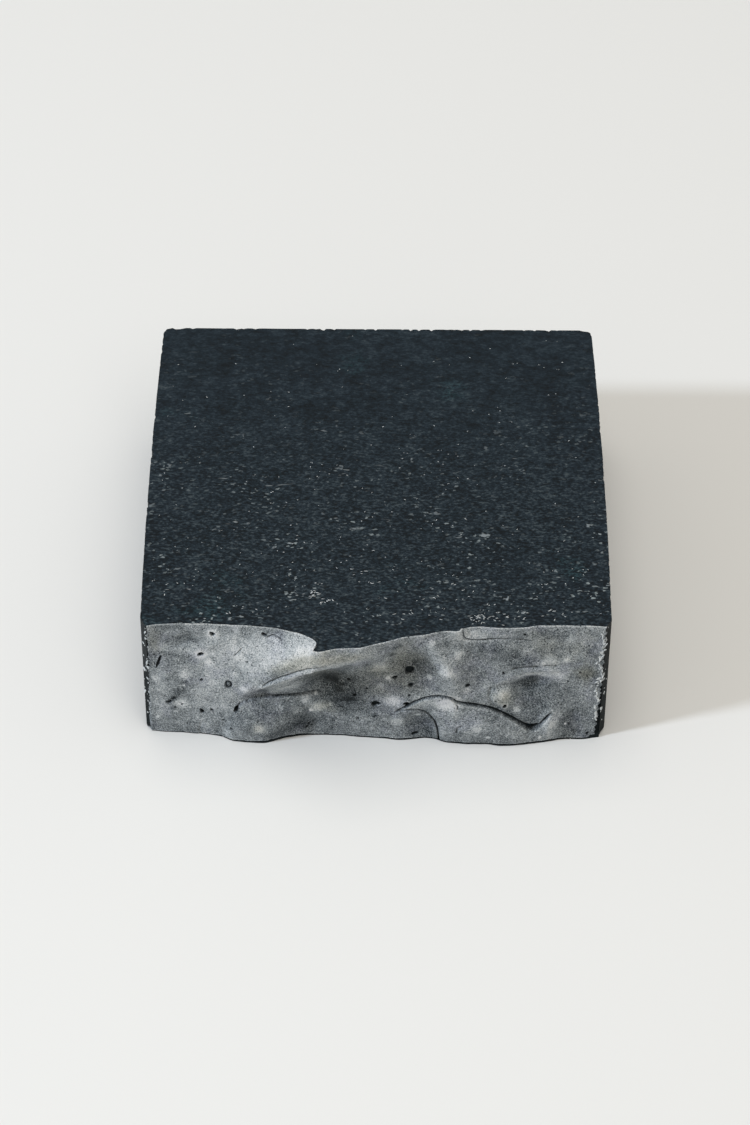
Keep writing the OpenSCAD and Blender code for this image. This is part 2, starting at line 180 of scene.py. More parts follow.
# A crack runs along a border, within its span of x. Soap below it stands out by "below", soap above it sinks
# by "above", both fading over "reach". "depth" is the dark crevice itself. All three are curves along x.
endFade = 0.3  # how fast a crack starts and stops
cracks = {
    "roll": dict(line=lowerCrack, span=(-25.2, 3.4), reach=1.6,
                 below=[(-25.2, 0), (-23.5, 0.2), (-21, 0.2), (-16, 0.25), (-9.4, 0.1), (-8, 0)],
                 above=[(-25.2, 0), (-22, 0.1), (-16, 0.3), (-9.4, 0.2), (-8, 0)],
                 depth=[(-25, 0), (-21.3, 0), (-17, 0.1), (-15.5, 0.9), (-10, 1), (-9, 0)], width=0.16),
    "seam": dict(line=tongueSeam, span=(3.4, 32.3), reach=1.4,
                 below=[(3.4, 0.1), (6, 0.35), (10, 0.45), (16, 0.5), (22, 0.45), (26, 0.4), (28.8, 0.2),
                        (31, 0)],
                 above=[(3.4, 0.1), (10, 0.1), (16, 0.15), (22, 0.25), (26, 0.5), (28, 0.1), (30, 0)],
                 depth=[(3.4, 0.3), (6, 0.8), (12, 0.9), (20, 0.8), (24, 1.1), (26.1, 1.9),
                        (27.2, 1.3), (28.4, 0.6), (29.4, 0)], width=0.1),
    "strip": dict(line=stripLine, span=(13.9, 30), reach=0.8,
                  below=[(13.9, -0.1), (18, -0.2), (24, -0.2), (28, 0)],
                  above=[(13.9, 0), (30, 0)],
                  depth=[(13.9, 0.2), (15, 0.6), (16, 0.3), (17.4, 0.7), (18, 0.3), (18.6, 0.7),
                         (19.6, 0.2), (20.8, 0.5), (22, 0.1), (23, 0.4), (24.4, 0.1), (27.5, 0), (28, 0)],
                  width=0.12),
}


def along(line, x, z):  # signed distance across a border, positive above it
    return (z - through(line, x)) / np.hypot(1, slopeOf(border(line), x))


def crackHeight(x, z):
    height = np.zeros_like(x)
    for crack in cracks.values():
        off = along(crack["line"], x, z)
        start, end = crack["span"]
        here = smooth(start - endFade, start, x) * (1 - smooth(end, end + endFade, x))
        fade = np.exp(-np.abs(off) / crack["reach"]) * here
        height += np.where(off < 0, through(crack["below"], x), -through(crack["above"], x)) * fade
        height -= through(crack["depth"], x) * here * np.exp(-(off / crack["width"]) ** 2)
    return height


# Small forms of the skin, as (x, z, half length, half height, turn in degrees, amount)
swells = [(-7.6, 14, 2.6, 4.8, -10, -1), (-10, 11.8, 2.6, 1.6, 10, -0.4), (-10.8, 17.4, 2.6, 1, 36, -0.6),
          (-2, 14.5, 3, 2.5, 0, -0.3), (-18.6, 10.1, 1.5, 0.7, 8, -0.5), (-11, 3.2, 2.2, 1.8, 0, -0.5),
          (-14.5, 7.6, 3.5, 1, 8, 0.25), (6.4, 17.5, 1.8, 3.6, -12, -0.6), (2.7, 20.6, 1.8, 1.2, 0, -0.4),
          (10.8, 19.4, 1, 4.2, 24, 0.35), (11.6, 16.4, 1.6, 1.5, 0, 0.3), (7.2, 3.6, 2.2, 2.6, 15, -0.45),
          (25.7, 13.2, 2, 1.9, 20, -0.9), (20.8, 10.6, 1.6, 1.7, 0, 0.55), (21.4, 14.2, 2.4, 0.8, 22, 0.35),
          (28, 16.2, 2.6, 0.5, 2, 0.3), (24.6, 17.6, 2.2, 0.8, 3, 0.3), (32, 4.4, 1.2, 2.4, -24, -0.28),
          (28.7, 4.4, 0.8, 2.4, -10, 0.4), (-31, 22, 3, 1.2, 12, -0.35), (-27.5, 20.6, 2.6, 0.9, 20, 0.2),
          (-33.5, 14, 1.8, 4, 10, 0.2), (-30.5, 5, 3, 2, -20, -0.25), (-24, 12.8, 2.6, 2.2, 0, 0.15),
          (-17, 21.6, 3.4, 1.8, 25, 0.3), (16.8, 4.6, 2.2, 1.6, 0, 0.15), (33.8, 19.5, 1.6, 2.2, 0, 0.2),
          (34.6, 14.6, 1.4, 1, 0, -0.3), (-20.5, 4.6, 2.6, 2, 30, 0.3), (-2, 3.6, 3.2, 1.6, 0, 0.2),
          (4.6, 12.6, 2.4, 1.6, 0, 0.25), (13.6, 20.6, 1.2, 1.1, 0, 0.25), (-5.8, 18.8, 1.4, 2.6, -30, 0.25),
          (20, 20, 4, 1.2, -3, 0.2)]
# Creases and scratches: points, half width, depth
creases = [([(-18.2, 14.2), (-17.3, 15.3), (-16, 16.5), (-15, 17.4), (-14, 18.2), (-13, 19.1), (-12, 19.8),
             (-11, 20.6), (-10, 21.1), (-8.6, 21.5)], 0.15, 0.42),
           ([(-18.6, 13.6), (-17.4, 14.6), (-16, 15.6), (-14.6, 16.9), (-13.2, 18.2), (-11.8, 19.1),
             (-10.3, 19.9)], 0.4, -0.35),
           ([(-12.6, 22.6), (-10.8, 22.9), (-8.8, 23.2), (-7, 23.9)], 0.25, 0.08),
           ([(-15.4, 20.2), (-13.4, 21.6), (-11.6, 22), (-9.6, 22.2), (-6, 22.4)], 0.2, 0.1),
           ([(22.4, 16.4), (24.2, 16.85), (26.2, 16.95)], 0.14, 0.75),
           ([(27.4, 17.1), (28.4, 17.1), (29.4, 16.9)], 0.09, 0.45),
           ([(4, 6.9), (5, 7.3), (6, 7.5), (7, 7.5), (8, 7), (9, 6), (9.8, 4.8), (10.2, 3.5), (10.4, 2),
             (10.5, 0.5)], 0.15, 0.6),
           ([(18.9, 12.4), (18.7, 11), (18.8, 9.8), (19.2, 8.7), (20.3, 7.9)], 0.35, 0.24),
           ([(20, 12.7), (21.4, 12.9), (23, 12.5)], 0.3, 0.14),
           ([(13.2, 9.4), (13.5, 8.9), (13.45, 8.3)], 0.1, 0.5),
           ([(13.4, 3.2), (13.5, 4.2), (14.2, 4.8)], 0.16, 0.3),
           ([(-15.2, 10), (-12, 10.2), (-9.9, 10.2)], 0.1, 0.6),
           ([(-17.4, 23.7), (-16.6, 24.15), (-15.9, 24.05), (-15.2, 23.7)], 0.11, 0.5),
           ([(-22.9, 19.1), (-21.6, 20.9)], 0.08, 0.26),
           ([(-29, 0), (-29.1, 1.6), (-28.7, 3)], 0.2, 0.13),
           ([(-1.5, 8.2), (-1.7, 8.8), (-1.1, 9.5)], 0.06, 0.15),
           ([(-34, 7.5), (-33, 8.6)], 0.16, 0.2),
           ([(-22.9, 7), (-22.3, 8.2)], 0.14, 0.3),
           ([(29.3, 6.3), (31, 4.3), (32.5, 2), (33, 1)], 0.12, 0.15),
           ([(25, 3.5), (25.8, 3.1), (26.6, 3.6)], 0.3, 0.5),
           ([(-33.6, 20.4), (-31.8, 20.7), (-30, 21.8)], 0.5, 0.16)]
# Pits that open to bare soap: x, z, half length, half height, turn, depth
pits = [(-35.35, 17, 1.2, 0.2, 72, 0.7), (-26.4, 23.3, 0.42, 0.34, 0, 0.6), (-18, 24.05, 0.36, 0.26, -20, 0.5),
        (-28.4, 19, 0.45, 0.36, 0, 0.6), (-28.4, 13.3, 0.2, 0.27, 0, 0.4), (-34, 7.5, 0.4, 0.3, 20, 0.5),
        (-31.8, 7, 0.18, 0.18, 0, 0.3), (-33, 6.1, 0.16, 0.16, 0, 0.3), (-28.6, 5.6, 0.28, 0.52, 30, 0.5),
        (-26.95, 6.2, 0.22, 0.22, 0, 0.4), (-22.9, 7, 0.3, 0.6, -30, 0.6), (-23.8, 3, 0.2, 0.14, 0, 0.3),
        (-25.1, 4.1, 0.14, 0.14, 0, 0.3), (-11.4, 2, 0.2, 0.16, 0, 0.3), (-11, 2.6, 0.14, 0.14, 0, 0.2),
        (-4.4, 13.35, 0.28, 0.24, 0, 0.4), (-1.4, 11.5, 0.17, 0.17, 0, 0.3), (-3.4, 9.85, 0.26, 0.24, 0, 0.4),
        (0, 8.2, 0.64, 0.52, 0, 0.8), (-2.9, 4.7, 0.2, 0.2, 0, 0.3), (5.5, 16, 0.74, 0.68, 25, 0.8),
        (3.1, 14.6, 0.42, 0.32, 10, 0.6), (5.7, 12.8, 0.44, 0.4, 0, 0.6), (5.5, 10.5, 0.18, 0.18, 0, 0.3),
        (5.1, 8.5, 0.46, 0.36, 15, 0.6), (24, 23.8, 0.2, 0.2, 0, 0.3), (20.8, 15.5, 0.18, 0.3, 20, 0.3),
        (21.2, 8.35, 0.24, 0.38, -10, 0.5), (19.7, 9.9, 0.15, 0.15, 0, 0.3), (32, 3.2, 0.16, 0.15, 0, 0.3),
        (35.1, 1.3, 0.2, 0.24, 0, 0.4), (33.3, 15.3, 0.16, 0.16, 0, 0.3), (6.5, 1.3, 0.5, 0.3, 10, 0.3),
        (-8.2, 16.9, 0.16, 0.14, 0, 0.3), (-5.6, 12.6, 0.12, 0.2, 0, 0.2), (25.6, 3.4, 0.5, 0.34, -20, 0.9),
        (-14.2, 13.9, 0.12, 0.12, 0, 0.2), (9.4, 5.4, 0.12, 0.12, 0, 0.2), (15, 13.3, 0.4, 0.3, 0, 0.18)]
# One ring-shaped groove: x, z, half length, half height, turn, depth
rings = [(-24, 12.8, 0.45, 0.64, 0, 0.3)]
rim = {"size": 1.12, "oval": 0.13, "ragged": 0.1, "raised": 0.05, "groove": 0.3}  # the edges of pits and rings
# The grid that the heights are kept in: it starts at firstX and firstZ, and is softened except at the tip
relief = {"firstX": -39, "firstZ": -1, "step": 0.2, "soften": 0.55, "keep": 0.12, "lumpy": 0.07, "lumpSize": 2.4,
          "tipLeft": (-14, -12.6), "tipRight": (-9, -7.4), "tipRise": (20, 22.5)}


def turned(x, z, form):  # distance from the middle of a small form, 1 at its rim
    angle = math.radians(form[4])
    dx, dz = x - form[0], z - form[1]
    return np.hypot((dx * math.cos(angle) + dz * math.sin(angle)) / form[2],
                    (dz * math.cos(angle) - dx * math.sin(angle)) / form[3])


def toLine(x, z, points):  # distance to a run of straight pieces
    best = np.full_like(x, 99.0)
    for (ax, az), (bx, bz) in zip(points, points[1:]):
        length = max((bx - ax) ** 2 + (bz - az) ** 2, 1e-6)
        t = np.clip(((x - ax) * (bx - ax) + (z - az) * (bz - az)) / length, 0, 1)
        best = np.minimum(best, np.hypot(x - ax - t * (bx - ax), z - az - t * (bz - az)))
    return best


def softened(grid, reach, step):
    span = int(3 * reach / step) + 1
    weight = np.exp(-0.5 * (np.arange(-span, span + 1) * step / reach) ** 2)
    weight /= weight.sum()
    wide = np.pad(grid, span, mode="edge")
    wide = sum(w * wide[i:i + grid.shape[0]] for i, w in enumerate(weight))
    return sum(w * wide[:, i:i + grid.shape[1]] for i, w in enumerate(weight))


def makeGrid():
    xs = np.arange(relief["firstX"], -relief["firstX"] + 0.01, relief["step"])
    zs = np.arange(relief["firstZ"], topZ - relief["firstZ"] + 0.01, relief["step"])
    x, z = [g.ravel() for g in np.meshgrid(xs, zs)]
    rough = guideHeight(x, np.clip(z, 0, topZ)).reshape(len(zs), len(xs))
    soft = softened(rough, relief["soften"], relief["step"])
    near = softened(rough, relief["keep"], relief["step"])
    tip = smooth(*relief["tipLeft"], x) * (1 - smooth(*relief["tipRight"], x)) * smooth(*relief["tipRise"], z)
    tip = tip.reshape(rough.shape)
    bumps = np.array([noise.fractal(Vector((a / relief["lumpSize"], b / relief["lumpSize"], 4)), 0.8, 2, 3)
                      for a, b in zip(x, z)]).reshape(rough.shape)
    return soft + (near - soft) * tip + relief["lumpy"] * bumps * (1 - tip)


def sampled(grid, x, z):  # the value of a grid between its points
    gx = np.clip((x - relief["firstX"]) / relief["step"], 0, grid.shape[1] - 1.001)
    gz = np.clip((z - relief["firstZ"]) / relief["step"], 0, grid.shape[0] - 1.001)
    i, j = gx.astype(int), gz.astype(int)
    fx, fz = gx - i, gz - j
    return ((grid[j, i] * (1 - fx) + grid[j, i + 1] * fx) * (1 - fz)
            + (grid[j + 1, i] * (1 - fx) + grid[j + 1, i + 1] * fx) * fz)


heightGrid = makeGrid()


def formHeight(x, z):  # hollows, swellings and creases
    height = np.zeros_like(x)
    for form in swells:
        height += form[5] * np.exp(-turned(x, z, form) ** 2)
    for points, width, depth in creases:
        height -= depth * np.exp(-(toLine(x, z, points) / width) ** 2)
    return height


def pitReach(x, z, form):  # the pits have uneven rims
    dx, dz = x - form[0], z - form[1]
    around = np.arctan2(dz, dx) + form[0]
    uneven = rim["size"] + rim["oval"] * np.sin(2 * around) + rim["ragged"] * np.sin(3 * around + form[1])
    return turned(x, z, form) / uneven


def ringAt(x, z, form):  # 1 along a ring's groove, 0 beside it
    return np.exp(-((turned(x, z, form) - 1) / rim["groove"]) ** 2)


def pitHeight(x, z):
    height = np.zeros_like(x)
    for form in pits:
        q = pitReach(x, z, form)
        height -= form[5] * (1 - smooth(0.75, 1.1, q))
        height += rim["raised"] * np.exp(-((q - 1.3) / 0.3) ** 2)
    for form in rings:
        height -= form[5] * ringAt(x, z, form)
    return height


def smoothHeight(x, z):  # without the pits
    return sampled(heightGrid, x, z) + formHeight(x, z) + crackHeight(x, z)


def faceHeight(x, z):
    return smoothHeight(x, z) + pitHeight(x, z)


# The tip of the left slope hangs over the crest beside the upper cut face
hook = {"push": 1.2, "firstOut": 2, "lastOut": 6.2, "below": (5, 0.5), "left": (-13, -10.6),
        "right": (-9.4, -5.5)}


def overhang(co):
    x, out, z = co[:, 0], frontY - co[:, 1], co[:, 2]
    share = np.clip((out - hook["firstOut"]) / (hook["lastOut"] - hook["firstOut"]), 0, 1)
    hump = np.sin(np.pi * share) * smooth(topZ - hook["below"][0], topZ - hook["below"][1], z)
    co[:, 0] = x + hook["push"] * hump * smooth(*hook["left"], x) * (1 - smooth(*hook["right"], x))
    return co


def level(z):
    return lambda x: np.full_like(x, z)


def joined(*parts):  # one border after another: (first x, border)
    return lambda x: np.select([x >= start for start, _ in parts[::-1]],
                               [line(x) for _, line in parts[::-1]], parts[0][1](x))


# The lobes between those borders. A border is named from the first x where it counts
lobes = {
    "left": dict(span=(-foldReach, -10.35), high=level(topZ), low=joined(
        (-99, level(0)), (-25.2, border(lowerCrack)), (-21.3, border(crestRidge)))),
    "crest": dict(span=(-21.3, 13.9), low=border(crestLip),
                  high=joined((-99, border(crestRidge)), (-10.3, level(topZ)))),
    "centre": dict(span=(-21.3, 12.6),
                   low=joined((-99, border(lowerCrack)), (3.4, border(tongueSeam))),
                   high=joined((-99, border(crestLip)), (7, border(rightFoot)))),
    "lower": dict(span=(-25.2, 10.5), low=level(0), high=border(lowerCrack)),
    "tongue": dict(span=(3.4, 32.3), high=border(tongueSeam),
                   low=joined((-99, border(lowerCrack)), (10.5, level(0)))),
    "right": dict(span=(7, foldReach), low=joined((-99, border(rightFoot)),
                  (12.6, border(tongueSeam)), (32.3, level(0))),
                  high=joined((-99, border(crestLip)), (13.9, border(stripLine)), (33.2, level(topZ)))),
    "upper_right": dict(span=(13.9, 33.2), low=border(stripLine), high=level(topZ)),
}
# The ash skin: cell is its mesh, tuck is how far it goes on under its neighbour, and sink is how fast it drops
# there. Its two outer edges run on raggedly by leftWrap and rightWrap, most at the base
skin = {"cell": 0.14, "thick": 0.2, "tuck": 0.35, "sink": 0.5, "leftWrap": 0.75, "leftBack": 0.25,
        "rightWrap": -0.9, "ragged": 0.35, "least": -1.1, "fold": 1.5}
# The soap under a skin: under and deep are its distance behind the skin, at its edges and further in
lump = {"cell": 0.4, "under": 0.18, "deep": 0.32, "foot": 0.13, "depthRows": 9}
# Where the bare soap shows along the base, as (x, height of the ash's lower edge); the dark strip is partly bare
# soap and partly painted shadow, widened under the bulging folds to stand for their contact shadow
ashStart = [(-38, 0.22), (-30, 0.3), (-25, 0.35), (-21, 0.5), (-18, 0.7), (-14, 0.72), (-10, 0.38),
            (-4, 0.35), (4, 0.42), (9, 0.4), (12, 0.5), (18, 0.5), (21, 0.62), (28, 0.6), (31, 0.42), (38, 0.4)]
# Broad paler and darker ash: partly thicker and thinner powder, partly painted light, with painted highlights on
# lit rises (the bump under the right crease) and painted shade in the hollows under the crest and in the
# dimples: x, z, half length, half height, turn, amount
ashTonesAndPaintedLight = [(-16, 22.2, 6, 3, 18, 0.3), (-24.3, 20.3, 6, 5, 0, 0.23), (-12.6, 24.8, 2.4, 1.4, 0, 0.18),
         (-11, 24.6, 1.3, 0.9, 0, 0.16), (-27, 12, 6, 8, 0, 0.12), (-30.4, 17.6, 1.8, 1.6, 0, -0.1),
         (-35.4, 9, 1.2, 9, 0, 0.12), (-31.2, 22, 3, 1.1, 10, -0.24), (-33.8, 20.2, 1.6, 1.3, 0, 0.14),
         (-32.6, 9.4, 2.4, 0.6, 52, -0.2), (-29.4, 20.4, 2, 0.5, 30, 0.1), (-24, 12.8, 0.45, 0.6, 0, -0.3),
         (-33, 3, 5, 2.6, 0, -0.03), (-28, 1.6, 1.3, 2.2, 0, 0.14), (-30.2, 2, 1, 2, 0, -0.06),
         (-20.8, 15.4, 3, 2, 40, 0.1), (-24.2, 7.2, 1.6, 1.6, 0, 0.14), (-15, 18.6, 4.6, 0.6, 48, -0.17),
         (-17.4, 19, 2, 1, 47, 0.16), (-10.6, 7.8, 1.5, 0.9, 0, 0.1), (-26, 9, 4.4, 3.6, 0, 0.07),
         (-15.8, 12, 4.2, 1, 32, 0.12), (-21.5, 4.8, 1.4, 2, 0, -0.12), (-19.5, 6, 4, 3, 0, -0.12),
         (-16.4, 1.8, 2.8, 1.3, 8, -0.26), (-22.8, 4.8, 1, 1.2, 0, -0.08), (-15.4, 7.4, 2.8, 1.4, 8, -0.17),
         (-13.6, 9.8, 2, 1, 8, -0.12), (-12.5, 3.2, 3, 1.8, 0, -0.24), (-8.8, 3.6, 1.8, 0.9, 0, -0.12),
         (-1.2, 7, 2, 1.2, 0, -0.1), (-7, 12.4, 3, 5, -10, -0.24), (-9, 15.6, 2, 2, 30, -0.08),
         (-4.4, 8.4, 3, 2.6, 0, -0.26), (5.5, 1.2, 2, 1.2, 0, -0.14), (0.8, 1.6, 1.2, 1.2, 0, 0.12),
         (22.3, 17.4, 3.6, 0.7, 4, -0.14), (-3.5, 13, 4, 3, 0, -0.12), (-17, 10, 2.2, 0.6, 8, -0.1),
         (-13.6, 16.9, 2.6, 0.6, 45, 0.14), (-6, 20.8, 5, 1.8, 12, 0.15), (-5.2, 17, 2.4, 1.4, 20, 0.1),
         (0.2, 16, 2, 2, 0, -0.1), (3, 20.8, 3.4, 1.4, 0, 0.07), (6, 17, 2.5, 4.4, -10, -0.2),
         (0.8, 17.5, 1.6, 1.2, 0, -0.08), (10.5, 19.2, 1.3, 4.4, 24, 0.18), (11.6, 16.6, 1.5, 1.5, 0, 0.12),
         (8.4, 9.2, 3.2, 1, 18, 0.1), (9.4, 7.4, 1.4, 0.5, -35, 0.14), (12.3, 9.4, 1.7, 1.9, 0, 0.5),
         (11.2, 3.6, 0.5, 2.2, 0, 0.12), (7.2, 3.4, 2.4, 2.8, 0, -0.16), (15.4, 23.8, 3.2, 1.3, 0, 0.34),
         (23.5, 19, 4, 1.2, 0, -0.12), (20, 20.5, 4, 1.6, 0, -0.08), (27.8, 23.8, 2.6, 1, 0, -0.16),
         (24.6, 14.4, 4.2, 0.9, 12, 0.38), (27.6, 17.2, 2, 1.5, 0, 0.16), (25.9, 12.7, 2.5, 1.8, 0, -0.24),
         (20.8, 10.6, 1.4, 1.5, 0, 0.09), (21.4, 7, 2.2, 1, -40, -0.12), (27.5, 9.5, 4, 2.2, 0, -0.12),
         (29.2, 4.6, 1, 2.4, -14, 0.28), (27.6, 7.8, 0.9, 1.2, 0, -0.12), (32, 4.2, 1.4, 2.4, -24, -0.06),
         (23.5, 1.4, 2.6, 1.2, 0, -0.14), (33.4, 1.2, 2, 1.4, 0, -0.12), (34.6, 14.8, 1.6, 1.2, 0, -0.1)]
# Small pale blooms and dark smudges: x, z, radius, amount
blooms = [(-26.4, 23.3, 1, 0.26), (-28.4, 19, 1.1, 0.26), (-27, 17.2, 0.8, 0.22), (-26.2, 18, 0.6, -0.12),
          (-31.2, 14.2, 0.9, 0.2), (-21.5, 12.3, 0.7, 0.24), (-31.4, 11.7, 0.2, 0.4), (-22, 18.5, 0.9, 0.14),
          (-23, 15, 0.8, 0.14), (-32, 7.3, 1.1, 0.24), (-36, 3.8, 0.25, 0.5), (-36, 13.3, 0.8, 0.18),
          (-32.5, 10.5, 0.8, -0.14), (-33.2, 8.5, 0.6, -0.14), (-19.2, 3.6, 1.1, 0.2), (-15.7, 7.7, 0.8, 0.18),
          (-32.9, 5.2, 0.3, 0.2), (-11.5, 9.3, 1, 0.24), (-10.6, 6.4, 0.32, 0.7), (-9.5, 7, 1.2, 0.2),
          (-7.3, 7.7, 0.5, 0.18), (-9.8, 10.15, 0.2, 0.7), (-5.5, 12.6, 0.4, 0.2), (2.2, 14.5, 0.7, 0.26),
          (8.8, 15, 0.6, 0.24), (3.5, 4.2, 1.1, 0.26), (7.1, 6, 0.45, 0.24), (3, 9, 1.4, 0.22),
          (0.8, 12.5, 0.6, 0.18), (11.5, 17, 1, 0.12), (13.6, 20.5, 0.9, 0.22), (27.2, 17.6, 0.25, 0.5),
          (28, 18.5, 0.9, 0.14), (31, 18.2, 0.6, 0.24), (15, 12.2, 0.7, 0.22), (23.2, 7.2, 0.7, 0.26),
          (16.6, 4.3, 0.9, 0.18), (18.6, 2.2, 0.3, 0.5), (27.2, 1.6, 0.3, 0.35), (31.4, 3.2, 0.2, 0.6),
          (-0.1, 5.3, 0.5, -0.22), (3.4, 23.4, 0.8, -0.14), (2.6, 20.9, 0.7, -0.18), (21.2, 8.35, 0.55, 0.2),
          (10.8, 9.2, 1.2, 0.16), (0.8, 17.8, 1.4, 0.16), (24.2, 19.8, 0.8, 0.14), (-24.4, 1.4, 1, 0.12),
          (-12.8, 7, 0.8, 0.14), (31.6, 22.4, 0.7, 0.12), (30, 14.6, 1.1, 0.16), (8.9, 23.4, 0.8, 0.2),
          (-18.2, 11.6, 0.9, -0.1), (21.4, 11.4, 1, 0.12)]
# Beige stains: x, z, half length, half height, turn, amount
stains = [(-13.4, 20.6, 6, 1.5, 42, 0.9), (-36, 20, 1.6, 5, 0, 0.6), (-9, 7, 3, 1.5, 0, 0.6),
          (-6, 23, 5, 1.6, 0, 0.6), (-2, 14, 8, 5, 0, 0.4), (5, 18.4, 5, 5, 0, 0.5), (20.8, 10.6, 2, 2, 0, 0.6),
          (28, 20, 9, 4, 0, 0.4), (34.5, 15, 2, 2, 0, 0.9), (23, 3, 6, 2, 0, 0.25),
          (-19.4, 3.8, 1.4, 1.4, 0, 0.5), (-8.6, 15, 3, 5, 0, 0.5)]


# How pale the ash is painted: everywhere, in a bloom, on rises (partly thicker ash, partly painted highlight on
# rises and painted shade in hollows), in a crease (painted shade), below a crack (a painted highlight on the
# lip), along its top and lower edges, in clouds
dustingAndPaintedLight = {"bare": 0.5, "bloom": 1.5, "rise": 0.5, "creaseShade": 0.6, "crack": 0.14, "edge": 0.2, "clouds": 0.09}


def powderAndPaintedLightAt(x, z):  # how pale the ash is, 0 to 1: its thickness, with painted shade and painted highlights mixed in
    amount = np.full_like(x, dustingAndPaintedLight["bare"])
    for form in ashTonesAndPaintedLight:
        amount += form[5] * np.exp(-turned(x, z, form) ** 2)
    for cx, cz, radius, strength in blooms:
        away = ((x - cx) ** 2 + (z - cz) ** 2) / radius ** 2
        amount += dustingAndPaintedLight["bloom"] * strength * np.exp(-away ** 1.5)
    # Paler on rises and darker in hollows: partly thicker and thinner ash, partly painted highlight on the rises
    # and painted shade in the hollows
    shape = softened(heightGrid, 0.4, relief["step"]) - softened(heightGrid, 1.4, relief["step"])
    amount += dustingAndPaintedLight["rise"] * np.clip(sampled(shape, x, z), -0.3, 0.3)
    # Each deep crease is painted darker: painted shade in the crease
    for points, width, depth in creases:
        if depth > 0.14:
            thin = min(0.36, dustingAndPaintedLight["creaseShade"] * depth)
            amount -= thin * np.exp(-(toLine(x, z, points) / (width * 0.8)) ** 2)
    for form in pits:
        amount *= smooth(0.85, 1.15, pitReach(x, z, form))
    for form in rings:
        amount *= 1 - np.clip(1.4 * ringAt(x, z, form), 0, 1)
    for crack in cracks.values():
        off = along(crack["line"], x, z)
        inside = (x > crack["span"][0]) & (x < crack["span"][1])
        deep = np.clip(through(crack["depth"], x) * 1.6, 0, 1) * inside
        amount *= 1 - deep * np.exp(-(off / 0.11) ** 2)
        # A paler band just below each crack: a painted highlight on the lip that catches the light
        amount += dustingAndPaintedLight["crack"] * deep * np.exp(-((off + 0.35) / 0.22) ** 2)
    edge = np.exp(-((topZ - z) / 0.16) ** 2) + 0.8 * np.exp(-((z - ashEdge(x)) / 0.14) ** 2)
    clouds = np.array([noise.fractal(Vector((a * 0.5, b * 0.5, 9)), 0.7, 2, 3) for a, b in zip(x, z)])
    return np.clip(amount + dustingAndPaintedLight["edge"] * edge + dustingAndPaintedLight["clouds"] * clouds, 0, 1)


def stainAt(x, z):
    amount = np.zeros_like(x)
    for form in stains:
        amount += form[5] * np.exp(-turned(x, z, form) ** 2)
    return np.clip(amount, 0, 1)


def pickOnly(piece):
    bpy.ops.object.select_all(action="DESELECT")
    piece.select_set(True)
    bpy.context.view_layer.objects.active = piece


def newSheet(name, cols, rows):  # a flat unit grid, ready to be shaped
    bpy.ops.object.select_all(action="DESELECT")
    bpy.ops.mesh.primitive_grid_add(x_subdivisions=cols, y_subdivisions=rows, size=1)
    piece = bpy.context.object
    piece.name = piece.data.name = name
    return piece


def readPoints(piece):
    co = np.empty(3 * len(piece.data.vertices), np.float32)
    piece.data.vertices.foreach_get("co", co)
    return co.reshape(-1, 3).astype(float)


def writePoints(piece, co):
    piece.data.vertices.foreach_set("co", co.astype(np.float32).ravel())
    piece.data.update()


# Columns are set closer together where the surface or a border is steep; the surface is read near its top
spacing = {"samples": 3000, "nearTop": 0.95, "rise": 0.7, "lean": 0.35}


def spaced(lobe, cell):
    x = np.linspace(*lobe["span"], spacing["samples"])
    low, high = lobe["low"](x), lobe["high"](x)
    rise = np.abs(np.diff(smoothHeight(x, low + spacing["nearTop"] * (high - low))))
    lean = np.maximum(np.abs(np.diff(low)), np.abs(np.diff(high)))
    steps = np.hypot(np.diff(x), spacing["rise"] * rise + spacing["lean"] * lean)
    run = np.concatenate([[0], np.cumsum(steps)])
    return int(run[-1] / cell), lambda share: np.interp(share * run[-1], run, x)


def shapeSheet(name, lobe, cell, height, tuck=0, start=None):
    cols, placeX = spaced(lobe, cell)
    x = placeX(np.linspace(0, 1, cols + 1))
    rows = max(4, int(np.max(lobe["high"](x) - lobe["low"](x)) / cell))
    piece = newSheet(name, cols, rows)
    unit = readPoints(piece) + 0.5
    x = placeX(unit[:, 0])
    low, high = lobe["low"](x), lobe["high"](x)
    steepLow, steepHigh = [np.hypot(1, slopeOf(lobe[side], x)) for side in ("low", "high")]
    onBase, onTop = low < 0.01, high > topZ - 0.01
    base = 0 if start is None else start(x)
    bottom = np.maximum(np.where(onBase, base, low - tuck * np.minimum(steepLow, 3)), base)
    top = np.minimum(np.where(onTop, topZ, high + tuck * np.minimum(steepHigh, 3)), topZ)
    z = np.minimum(bottom + unit[:, 1] * np.maximum(top - bottom, 0.02), topZ)
    beyond = np.where(onBase, 0, np.clip(low - z, 0, 9) / steepLow)
    beyond = beyond + np.where(onTop, 0, np.clip(z - high, 0, 9) / steepHigh)
    out = height(x, z) - skin["sink"] * beyond ** 2
    writePoints(piece, np.stack([x, frontY - out, z], 1))
    return piece


def editing(piece, kind="VERT"):
    pickOnly(piece)
    bpy.ops.object.mode_set(mode="EDIT")
    bpy.ops.mesh.select_mode(type=kind)


def leaveEditing():
    bpy.ops.object.mode_set(mode="OBJECT")


def extrudeRim(piece, shift, squashY=None):  # the rim of a sheet goes back or down, and is closed by one face
    editing(piece, "EDGE")
    bpy.ops.mesh.select_all(action="SELECT")
    bpy.ops.mesh.region_to_loop()
    bpy.ops.mesh.extrude_edges_move(TRANSFORM_OT_translate={"value": shift})
    if squashY is not None:
        bpy.ops.transform.resize(value=(1, 0, 1), center_override=(0, squashY, 0))
    bpy.ops.mesh.edge_face_add()
    leaveEditing()


